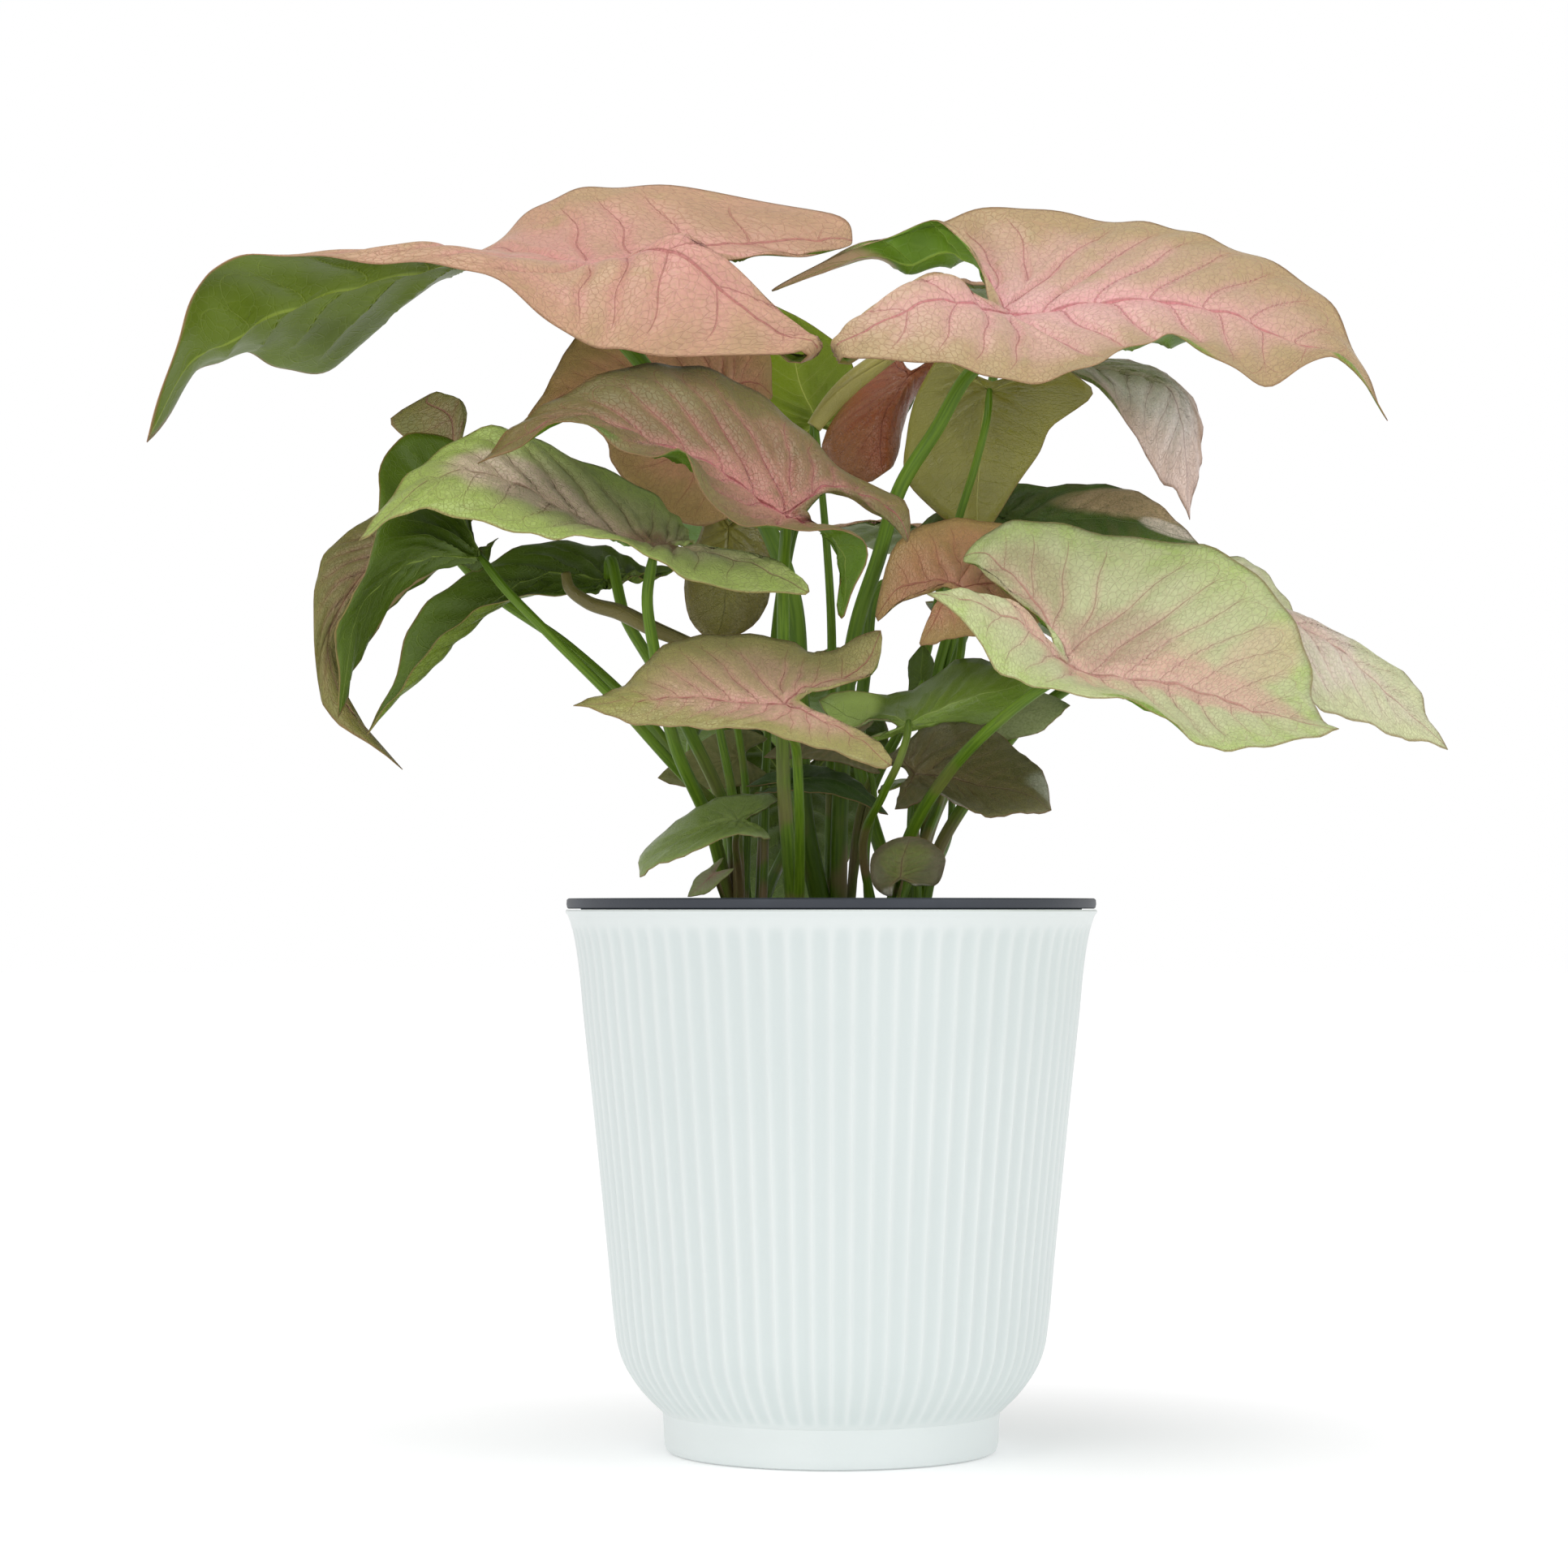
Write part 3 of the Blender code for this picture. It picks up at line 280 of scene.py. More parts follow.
@dataclass(frozen=True)
class VeinPlan:
    """Where the veins run on the flat leaf, whose stalk joins at (0, 0) and whose tip is (1, 0).

    Side veins leave the rib at even steps and bend ahead: their step count is u - slant |v| - curve v v.
    Each lobe repeats that round a rib of its own, v = opening s - closing s s with s = -u.
    """

    spacing: float = 0.125
    slant: float = 0.60
    curve: float = 0.55
    stagger: float = 0.045
    opening: float = 1.2
    closing: float = 0.96
    lobe: tuple[float, float] = (0.74, 0.67)
    lobe_slant: float = 0.95
    rib_width: float = 0.0070
    side_width: float = 0.0038
    lean: float = 0.85

    def comb(self, ahead: Value | np.ndarray) -> tuple:
        """Return how far a point is from the nearest side vein, in steps, and whether veins run there."""
        steps = abs((ahead / self.spacing + 0.5) % 1.0 - 0.5)
        return steps, smooth(ahead, -0.5 * self.spacing, -0.2 * self.spacing)

    def lines(self, u: Value | np.ndarray, v: Value | np.ndarray, share: Value | np.ndarray, phase: float) -> tuple:
        """Return the veins at flat places.

        Args:
            u: place along the leaf.
            v: place across it.
            share: 0 at the leaf's middle and 1 at its margin.
            phase: a number that bends the veins of each leaf in its own way.

        Returns:
            Strength of the ribs, of the side veins, of the glow round both, and of the swell between them.
        """
        u = u + 0.010 * sine(v * 15.0 + phase) + 0.006 * sine(v * 41.0 + 3.0 * phase)
        v = v + 0.010 * sine(u * 6.0 + 2.0 * phase) * smooth(u, 0.05, 0.4)
        aside = abs(v)
        bend = smooth(v, -0.012, 0.012) * self.stagger
        steps, front = self.comb(u + bend - self.slant * aside - self.curve * aside * aside)
        behind = 0.0 - u
        along = self.lobe[0] * behind + self.lobe[1] * aside
        slope = self.opening - 2.0 * self.closing * behind
        off = aside - self.opening * behind + self.closing * behind * behind
        across = abs(off) / (1.0 + 0.45 * slope * slope)
        lobe_steps, lobe = self.comb(along - self.lobe_slant * across - self.curve * across * across)
        lobe = lobe * (1.0 - front)
        width = self.spacing * self.lean
        thin = 1.0 - 0.6 * share
        rib = smooth(aside / thin, self.rib_width, 0.25 * self.rib_width) * smooth(u, -0.02, 0.0)
        lobe_rib = smooth(across / thin, self.rib_width, 0.25 * self.rib_width) * smooth(along, 0.0, 0.02)
        lobe_rib = lobe_rib * smooth(behind, -0.02, 0.0)
        ribs = greatest(rib, lobe_rib)
        side = smooth(steps * width / thin, self.side_width, 0.2 * self.side_width) * front
        lobe_side = smooth(lobe_steps * width / thin, self.side_width, 0.2 * self.side_width) * lobe
        hoop = abs(share - 0.82 - 0.40 * steps * (1.0 - steps))
        inside = smooth(share, 0.93, 0.82)
        sides = greatest(greatest(side, lobe_side) * inside, smooth(hoop, 0.006, 0.001) * front * 0.45)
        halo = greatest(smooth(steps * width, 0.026, 0.0) * front, smooth(lobe_steps * width, 0.026, 0.0) * lobe)
        core = greatest(smooth(aside, 0.055, 0.0) * smooth(u, -0.05, 0.0),
                        smooth(across, 0.045, 0.0) * smooth(behind, -0.03, 0.02))
        glow = greatest(core * smooth(share, 1.05, 0.2), 0.6 * halo * smooth(share, 1.0, 0.4))
        swell = 4.0 * (steps * (1.0 - steps) * front + lobe_steps * (1.0 - lobe_steps) * lobe)
        return ribs, sides, glow, swell


VEINS = VeinPlan()


@dataclass(frozen=True)
class Curl:
    """The end of a lobe that is rolled down and under: its start and heading on the flat leaf."""

    start: tuple[float, float]
    heading: tuple[float, float]
    radius: float
    stretch: float = 2.0

    def roll(self, carry: Carry, length: float) -> Carry:
        """Return a leaf's surface with this end wound round a cylinder.

        A point that lies d past the start goes to radius sin(t) ahead and radius (1 - cos(t)) down, with
        t = stretch d / radius.

        Args:
            carry: the surface so far.
            length: the leaf's length in millimetres.

        Returns:
            The new surface.
        """
        heading = np.array(self.heading) / math.hypot(*self.heading)
        start = np.array([self.start])
        ahead = (carry(start + NORMAL_STEP * heading) - carry(start - NORMAL_STEP * heading))[0]
        ahead /= np.linalg.norm(ahead)
        down = -upper_normals(carry, start)[0]

        def rolled(points: np.ndarray) -> np.ndarray:
            """Return the real places of flat points."""
            past = np.maximum((points - start) @ heading, 0.0) * length
            turn = self.stretch * past / self.radius
            shift = np.outer(self.radius * np.sin(turn) - past, ahead)
            shift += np.outer(self.radius * (1.0 - np.cos(turn)), down)
            return carry(points) + shift * MILLIMETRE

        return rolled


@dataclass(frozen=True)
class Mark:
    """A soft patch of another colour: its middle on the flat leaf and its reach along and across."""

    u: float
    v: float
    along: float
    across: float
    colour: Colour
    strength: float = 0.9

    def over(self, paint: Paint, u: Value, v: Value, cloud: Value, colour: bpy.types.NodeSocket) -> bpy.types.NodeSocket:
        """Return a colour with the patch laid over it.

        Args:
            paint: the material's tree.
            u: place along the leaf.
            v: place across it.
            cloud: noise about 0.5 that frays the patch's edge.
            colour: the colour so far.

        Returns:
            The new colour.
        """
        ahead, aside = (u - self.u) / self.along, (v - self.v) / self.across
        amount = smooth(ahead * ahead + aside * aside + 1.6 * (cloud - 0.5), 1.15, 0.35)
        return paint.mix(amount * self.strength, colour, self.colour)


@dataclass(frozen=True)
class BladeFinish:
    """The colours of a leaf's two faces."""

    slot: str
    centre: Colour
    field: Colour
    margin: Colour
    patch: Colour
    vein: Colour
    under: Colour
    under_vein: Colour
    edge: Colour = tone(140, 100, 66)
    line: Colour = tone(180, 104, 98)
    patches: float = 0.45
    margin_start: float = 0.62
    vein_strength: float = 0.75
    glow: float = 0.4
    roughness: float = 0.42
    gloss: float = 0.42

    def upper(self, name: str, phase: float, marks: Sequence[Mark]) -> bpy.types.Material:
        """Make the upper face's material.

        Args:
            name: the material's name.
            phase: the number that bends this leaf's veins.
            marks: patches of other colours.

        Returns:
            A blade that is palest at its ribs, turns to the margin's colour, and has veins and patches.
        """
        paint = Paint(name)
        flat = paint.attribute("flat")
        place = paint.place()
        u, v, share = paint.parts(flat)
        cloud = paint.noise(place, 26.0, 4.0)
        blotch = paint.noise(place, 55.0, 5.0)
        grain = paint.noise(place, 700.0, 2.0)
        speckle = paint.noise(place, 1500.0, 2.0)
        net = smooth(paint.cracks(paint.stretched(flat, (1.0, 1.0, 0.0)), 64.0), 0.09, 0.0)
        ribs, sides, glow, swell = VEINS.lines(u, v, share, phase)
        middle = smooth(share + 0.8 * (cloud - 0.5), 0.05, 0.60)
        colour = paint.mix(middle, self.centre, self.field)
        rim = smooth(share + 0.5 * (blotch - 0.5), self.margin_start, self.margin_start + 0.36)
        colour = paint.mix(rim, colour, self.margin)
        spots = smooth(blotch + 0.3 * (cloud - 0.5), 0.68 - 0.3 * self.patches, 0.78 - 0.3 * self.patches)
        spots = greatest(spots * 0.6, smooth(swell, 0.4, 1.0) * smooth(cloud, 0.35, 0.65) * 0.5)
        colour = paint.mix(spots * (1.0 - glow * 0.7), colour, self.patch)
        for mark in marks:
            colour = mark.over(paint, u, v, cloud, colour)
        colour = paint.mix(glow * self.glow, colour, self.vein)
        colour = paint.mix(smooth(speckle, 0.44, 0.64) * 0.3, colour, self.patch)
        colour = paint.mix(net * 0.11, colour, self.line)
        colour = paint.mix(greatest(ribs * 0.9, sides * 0.6) * self.vein_strength, colour, self.line)
        dusk = paint.mix(grain, tone(190, 190, 190), tone(255, 255, 255))
        colour = paint.mix(0.6, colour, dusk, "MULTIPLY")
        colour = paint.mix(smooth(share, 0.982, 0.997) * 0.55, colour, self.edge)
        rough = self.roughness + 0.22 * (cloud - 0.5) + 0.08 * (grain - 0.5)
        height = 0.35 * grain - 0.35 * net - 0.9 * greatest(ribs, sides) + 0.8 * blotch
        return paint.finish(colour, rough, height, distance=0.0007, Specular_IOR_Level=self.gloss)

    def lower(self, name: str, phase: float, marks: Sequence[Mark]) -> bpy.types.Material:
        """Make the underside's material.

        Args:
            name: the material's name.
            phase: the number that bends this leaf's veins.
            marks: patches of other colours.

        Returns:
            A smoother face with paler raised veins.
        """
        paint = Paint(name)
        flat = paint.attribute("flat")
        place = paint.place()
        u, v, share = paint.parts(flat)
        cloud = paint.noise(place, 30.0, 4.0)
        grain = paint.noise(place, 500.0, 2.0)
        net = smooth(paint.cracks(paint.stretched(flat, (1.0, 1.0, 0.0)), 44.0), 0.08, 0.0)
        ribs, sides, glow, _ = VEINS.lines(u, v, share, phase)
        shade = paint.mix(smooth(cloud, 0.35, 0.65), tone(215, 215, 205), tone(255, 255, 255))
        colour = paint.mix(1.0, shade, self.under, "MULTIPLY")
        for mark in marks:
            colour = mark.over(paint, u, v, cloud, colour)
        colour = paint.mix(net * 0.08 + glow * 0.12, colour, self.under_vein)
        colour = paint.mix(greatest(ribs, sides * 0.5) * 0.7, colour, self.under_vein)
        colour = paint.mix(smooth(share, 0.985, 0.997) * 0.6, colour, self.edge)
        height = 0.25 * grain + 0.25 * net + 0.8 * greatest(ribs, sides) + 0.5 * cloud
        rough = self.roughness + 0.04 + 0.2 * (cloud - 0.5)
        return paint.finish(colour, rough, height, Specular_IOR_Level=self.gloss)


class Tint(Enum):
    """The finishes that the blades have."""

    ROSE = BladeFinish(
        "pink_blade", tone(222, 160, 152), tone(214, 160, 144), tone(200, 156, 126), tone(186, 160, 116),
        tone(228, 152, 150), tone(96, 116, 6), tone(140, 158, 50), line=tone(178, 98, 96), patches=0.3,
        glow=0.45)
    VIVID_ROSE = BladeFinish(
        "pink_blade", tone(236, 186, 180), tone(218, 176, 158), tone(188, 160, 118), tone(188, 166, 122),
        tone(240, 170, 174), tone(100, 136, 16), tone(146, 172, 60), line=tone(198, 104, 112),
        margin_start=0.56, glow=0.6)
    BROWN_ROSE = BladeFinish(
        "pink_blade", tone(184, 132, 114), tone(146, 114, 84), tone(124, 112, 62), tone(116, 108, 60),
        tone(216, 138, 138), tone(92, 124, 22), tone(140, 160, 60), line=tone(178, 88, 96), glow=0.5)
    MOSS_ROSE = BladeFinish(
        "pink_blade", tone(172, 138, 112), tone(156, 136, 94), tone(140, 132, 70), tone(122, 124, 60),
        tone(194, 138, 122), tone(96, 124, 24), tone(144, 160, 64), line=tone(150, 88, 80), glow=0.4)
    DUSTY_ROSE = BladeFinish(
        "pink_blade", tone(222, 174, 156), tone(198, 164, 134), tone(168, 160, 98), tone(164, 156, 98),
        tone(220, 148, 144), tone(100, 130, 24), tone(150, 168, 66), line=tone(180, 100, 96),
        margin_start=0.54)
    HEART = BladeFinish(
        "pink_blade", tone(128, 132, 60), tone(116, 114, 74), tone(124, 114, 86), tone(96, 102, 54),
        tone(150, 124, 96), tone(100, 120, 40), tone(140, 150, 80), line=tone(120, 84, 70), gloss=0.5)
    SILVER_ROSE = BladeFinish(
        "pink_blade", tone(250, 226, 220), tone(250, 238, 232), tone(238, 206, 190), tone(232, 206, 194),
        tone(240, 196, 190), tone(150, 158, 70), tone(186, 180, 110), line=tone(190, 150, 148),
        roughness=0.30, gloss=0.7)
    PALE_ROSE = BladeFinish(
        "pink_blade", tone(240, 204, 192), tone(238, 224, 206), tone(212, 216, 164), tone(218, 222, 176),
        tone(236, 186, 176), tone(120, 150, 40), tone(160, 180, 80), line=tone(200, 150, 138))
    LIME = BladeFinish(
        "lime_blade", tone(206, 178, 152), tone(178, 180, 126), tone(168, 188, 98), tone(150, 160, 94),
        tone(208, 166, 148), tone(78, 114, 12), tone(130, 158, 54), line=tone(144, 110, 84),
        margin_start=0.55, glow=0.3)
    LIME_ROSE = BladeFinish(
        "lime_blade", tone(222, 182, 158), tone(196, 200, 152), tone(182, 202, 120), tone(206, 208, 162),
        tone(220, 176, 162), tone(112, 152, 24), tone(160, 190, 70), line=tone(186, 126, 114),
        margin_start=0.66, glow=0.75)
    GREEN = BladeFinish(
        "green_blade", tone(120, 138, 34), tone(108, 128, 30), tone(122, 144, 38), tone(92, 112, 26),
        tone(150, 166, 72), tone(82, 106, 14), tone(136, 158, 60), line=tone(138, 152, 70), glow=0.1,
        vein_strength=0.5)
    PALE_GREEN = BladeFinish(
        "green_blade", tone(150, 166, 98), tone(132, 152, 82), tone(156, 172, 112), tone(108, 130, 62),
        tone(170, 180, 124), tone(116, 142, 44), tone(158, 176, 96), line=tone(160, 172, 110), glow=0.15,
        vein_strength=0.5, roughness=0.36, gloss=0.5)
    BRIGHT_GREEN = BladeFinish(
        "green_blade", tone(128, 156, 24), tone(118, 146, 16), tone(130, 154, 24), tone(92, 124, 12),
        tone(160, 182, 64), tone(134, 156, 18), tone(206, 214, 104), line=tone(170, 186, 80), glow=0.1,
        vein_strength=0.5)
    DARK_GREEN = BladeFinish(
        "dark_green_blade", tone(78, 104, 32), tone(70, 96, 28), tone(84, 112, 36), tone(104, 104, 58),
        tone(112, 134, 62), tone(52, 80, 16), tone(98, 122, 50), line=tone(104, 126, 60), glow=0.1,
        vein_strength=0.5)
    DUSKY_GREEN = BladeFinish(
        "dark_green_blade", tone(142, 136, 82), tone(132, 130, 76), tone(138, 138, 80), tone(112, 116, 60),
        tone(160, 158, 100), tone(108, 118, 42), tone(146, 152, 76), line=tone(150, 146, 90), glow=0.1,
        vein_strength=0.5)
    OLIVE = BladeFinish(
        "olive_blade", tone(156, 148, 62), tone(146, 138, 58), tone(134, 122, 56), tone(124, 114, 52),
        tone(170, 166, 96), tone(142, 136, 52), tone(172, 168, 84), line=tone(120, 112, 50), glow=0.15,
        roughness=0.26, gloss=0.6)
    TAN = BladeFinish(
        "olive_blade", tone(180, 166, 96), tone(172, 158, 88), tone(160, 146, 80), tone(150, 136, 74),
        tone(190, 176, 110), tone(176, 164, 84), tone(200, 188, 116), line=tone(150, 132, 70), glow=0.1,
        roughness=0.30, gloss=0.6)
    SALMON = BladeFinish(
        "salmon_blade", tone(212, 152, 122), tone(202, 148, 108), tone(184, 150, 94), tone(176, 144, 90),
        tone(210, 134, 112), tone(150, 140, 60), tone(176, 160, 84), line=tone(176, 96, 80))
    RED_BROWN = BladeFinish(
        "salmon_blade", tone(192, 108, 68), tone(178, 94, 56), tone(160, 100, 54), tone(184, 122, 80),
        tone(168, 84, 60), tone(140, 80, 50), tone(170, 104, 70), line=tone(140, 68, 50), roughness=0.27,
        gloss=0.6)
    BRONZE = BladeFinish(
        "bronze_blade", tone(150, 134, 90), tone(134, 124, 78), tone(132, 126, 84), tone(106, 104, 56),
        tone(150, 124, 92), tone(118, 108, 54), tone(140, 128, 74), line=tone(126, 92, 70), roughness=0.36,
        gloss=0.5)


FRESH_GREEN = tone(112, 150, 24)
DUSKY_TAN = tone(186, 148, 116)
OLIVE_BROWN = tone(130, 120, 76)
WARM_PINK = tone(218, 174, 156)
SILVER_GREEN = tone(196, 196, 178)

# Patches on the upper faces: curled margins that show the green underside, flushes, bleached parts and one painted
# shadow
UPPER_MARKS = {
    "wide_left_leaf": (
        Mark(0.05, 0.20, 0.16, 0.08, tone(200, 172, 130), 0.5), Mark(-0.35, -0.30, 0.16, 0.10, DUSKY_TAN, 0.7)),
    "wide_right_leaf": (
        Mark(0.60, -0.262, 0.12, 0.035, FRESH_GREEN), Mark(0.93, -0.05, 0.06, 0.03, FRESH_GREEN)),
    "brown_pink_leaf": (
        Mark(0.68, 0.20, 0.10, 0.035, tone(88, 114, 30)), Mark(0.40, 0.325, 0.09, 0.03, tone(88, 114, 30)),
        Mark(0.55, -0.22, 0.32, 0.10, OLIVE_BROWN)),
    # The second patch of lime_left_leaf is a painted shadow: the brown pink leaf's shade over its knot
    "lime_left_leaf": (
        Mark(0.42, -0.02, 0.30, 0.13, tone(208, 186, 162)), Mark(-0.02, 0.0, 0.14, 0.16, tone(152, 118, 90))),
    "big_right_leaf": (
        Mark(0.45, 0.02, 0.48, 0.07, WARM_PINK, 0.8), Mark(0.58, 0.15, 0.12, 0.12, WARM_PINK, 0.45),
        Mark(0.10, 0.12, 0.20, 0.10, tone(182, 154, 132), 0.7),
        Mark(-0.20, -0.12, 0.14, 0.10, tone(210, 172, 148)), Mark(-0.20, 0.20, 0.20, 0.16, tone(176, 162, 124), 0.7),
        Mark(0.30, -0.345, 0.16, 0.04, tone(124, 162, 30))),
    "dark_right_leaf": (
        Mark(0.62, 0.14, 0.40, 0.13, tone(210, 178, 142)), Mark(0.85, 0.02, 0.14, 0.05, tone(246, 228, 212))),
    "bronze_leaf": (
        Mark(0.88, 0.12, 0.22, 0.09, SILVER_GREEN), Mark(0.10, -0.38, 0.16, 0.04, tone(204, 200, 190))),
    "silvery_leaf": (
        Mark(0.30, -0.36, 0.35, 0.045, tone(120, 146, 40)), Mark(0.70, 0.20, 0.25, 0.06, DUSKY_TAN, 0.6)),
    "baby_heart_leaf": (
        Mark(-0.35, 0.25, 0.20, 0.20, SILVER_GREEN, 0.7), Mark(-0.35, -0.25, 0.20, 0.20, SILVER_GREEN, 0.7),
        Mark(0.35, 0.00, 0.40, 0.24, tone(126, 140, 56), 0.6)),
    "pink_centre_leaf": (Mark(0.85, 0.0, 0.22, 0.16, tone(166, 164, 92)),),
    "glossy_small_leaf": (Mark(0.20, 0.0, 0.80, 0.60, tone(216, 226, 164), 0.75),),
    "lower_left_leaf": (Mark(0.30, 0.0, 0.70, 0.50, tone(128, 152, 56), 0.6),),
    "small_green_leaf": (Mark(0.20, 0.0, 0.80, 0.60, tone(146, 140, 40), 0.5),),
}

# Patches on the undersides: rolled margins that show the upper face, a bleached lobe and a burnt spot
LOWER_MARKS = {
    "wide_right_leaf": (Mark(-0.42, 0.33, 0.14, 0.06, DUSKY_TAN),),
    "lime_tip_leaf": (
        Mark(-0.42, -0.32, 0.20, 0.20, tone(182, 204, 112)), Mark(-0.40, -0.25, 0.03, 0.025, tone(110, 80, 50))),
    "folded_left_leaf": (Mark(0.45, -0.30, 0.45, 0.035, DUSKY_TAN, 0.7),),
}


# Rolled ends of lobes
CURLS = {
    "wide_left_leaf": (Curl((-0.45, 0.35), (-0.975, 0.22), 3.4, 2.3),),
    "wide_right_leaf": (Curl((-0.445, -0.35), (-0.975, -0.22), 3.0, 2.3),),
}

SOIL_LEVEL = 144.0

# The fluted wall: height and the radius of its ribs
POT_WALL = [
    (11.6, 47.9), (12.3, 48.6), (13.6, 50.0), (15.8, 52.2), (18.0, 54.1), (21.5, 56.6), (25.0, 58.5),
    (29.5, 60.0), (36.0, 61.0), (53.5, 62.7), (98.0, 67.2), (122.0, 69.8), (140.6, 71.8), (145.0, 72.6),
    (148.6, 73.6), (150.0, 74.1),
]

# Places of the named landmarks on the flat leaf, whose stalk joins at (0, 0) and whose tip is (1, 0)
MARGIN = [
    (0.90, 0.08), (0.75, 0.17), (0.50, 0.29), (0.36, 0.34), (0.22, 0.37), (0.00, 0.40), (-0.25, 0.42),
    (-0.40, 0.41), (-0.50, 0.36), (-0.38, 0.26), (-0.25, 0.16), (-0.13, 0.08),
]
FLAT_PLACES = {
    "knot": (0.0, 0.0), "r1": (0.25, 0.0), "r2": (0.5, 0.0), "r3": (0.78, 0.0), "tip": (1.0, 0.0),
    "cleft": (-0.07, 0.0), "la": (-0.25, 0.28), "lb": (-0.25, -0.28), "ca": (0.42, 0.17),
    "cb": (0.42, -0.17),
}
for _number, (_u, _v) in enumerate(MARGIN, start=1):
    FLAT_PLACES[f"a{_number}"] = (_u, _v)
    FLAT_PLACES[f"b{_number}"] = (_u, -_v)
LEAF_CENTRE = (0.02, 0.0)
NORMAL_STEP = 0.004
SPLINE_EASE = 0.0006

# Crowns that stand in the soil, one for each plantlet, by their place (x, y)
CROWN_RADIUS = 7.5
CROWN_FOOT = 112.0
CROWN_TOP = SOIL_LEVEL + 7.0
CROWN_TAPER = (0.45, 0.9, 1.0, 1.0, 0.85, 0.45)
CROWNS = {
    "left": (-25.0, -10.0),
    "front": (-9.0, -27.0),
    "right": (14.0, -14.0),
    "middle": (1.0, 5.0),
    "back_left": (-22.0, 20.0),
    "back_right": (22.0, 22.0),
}

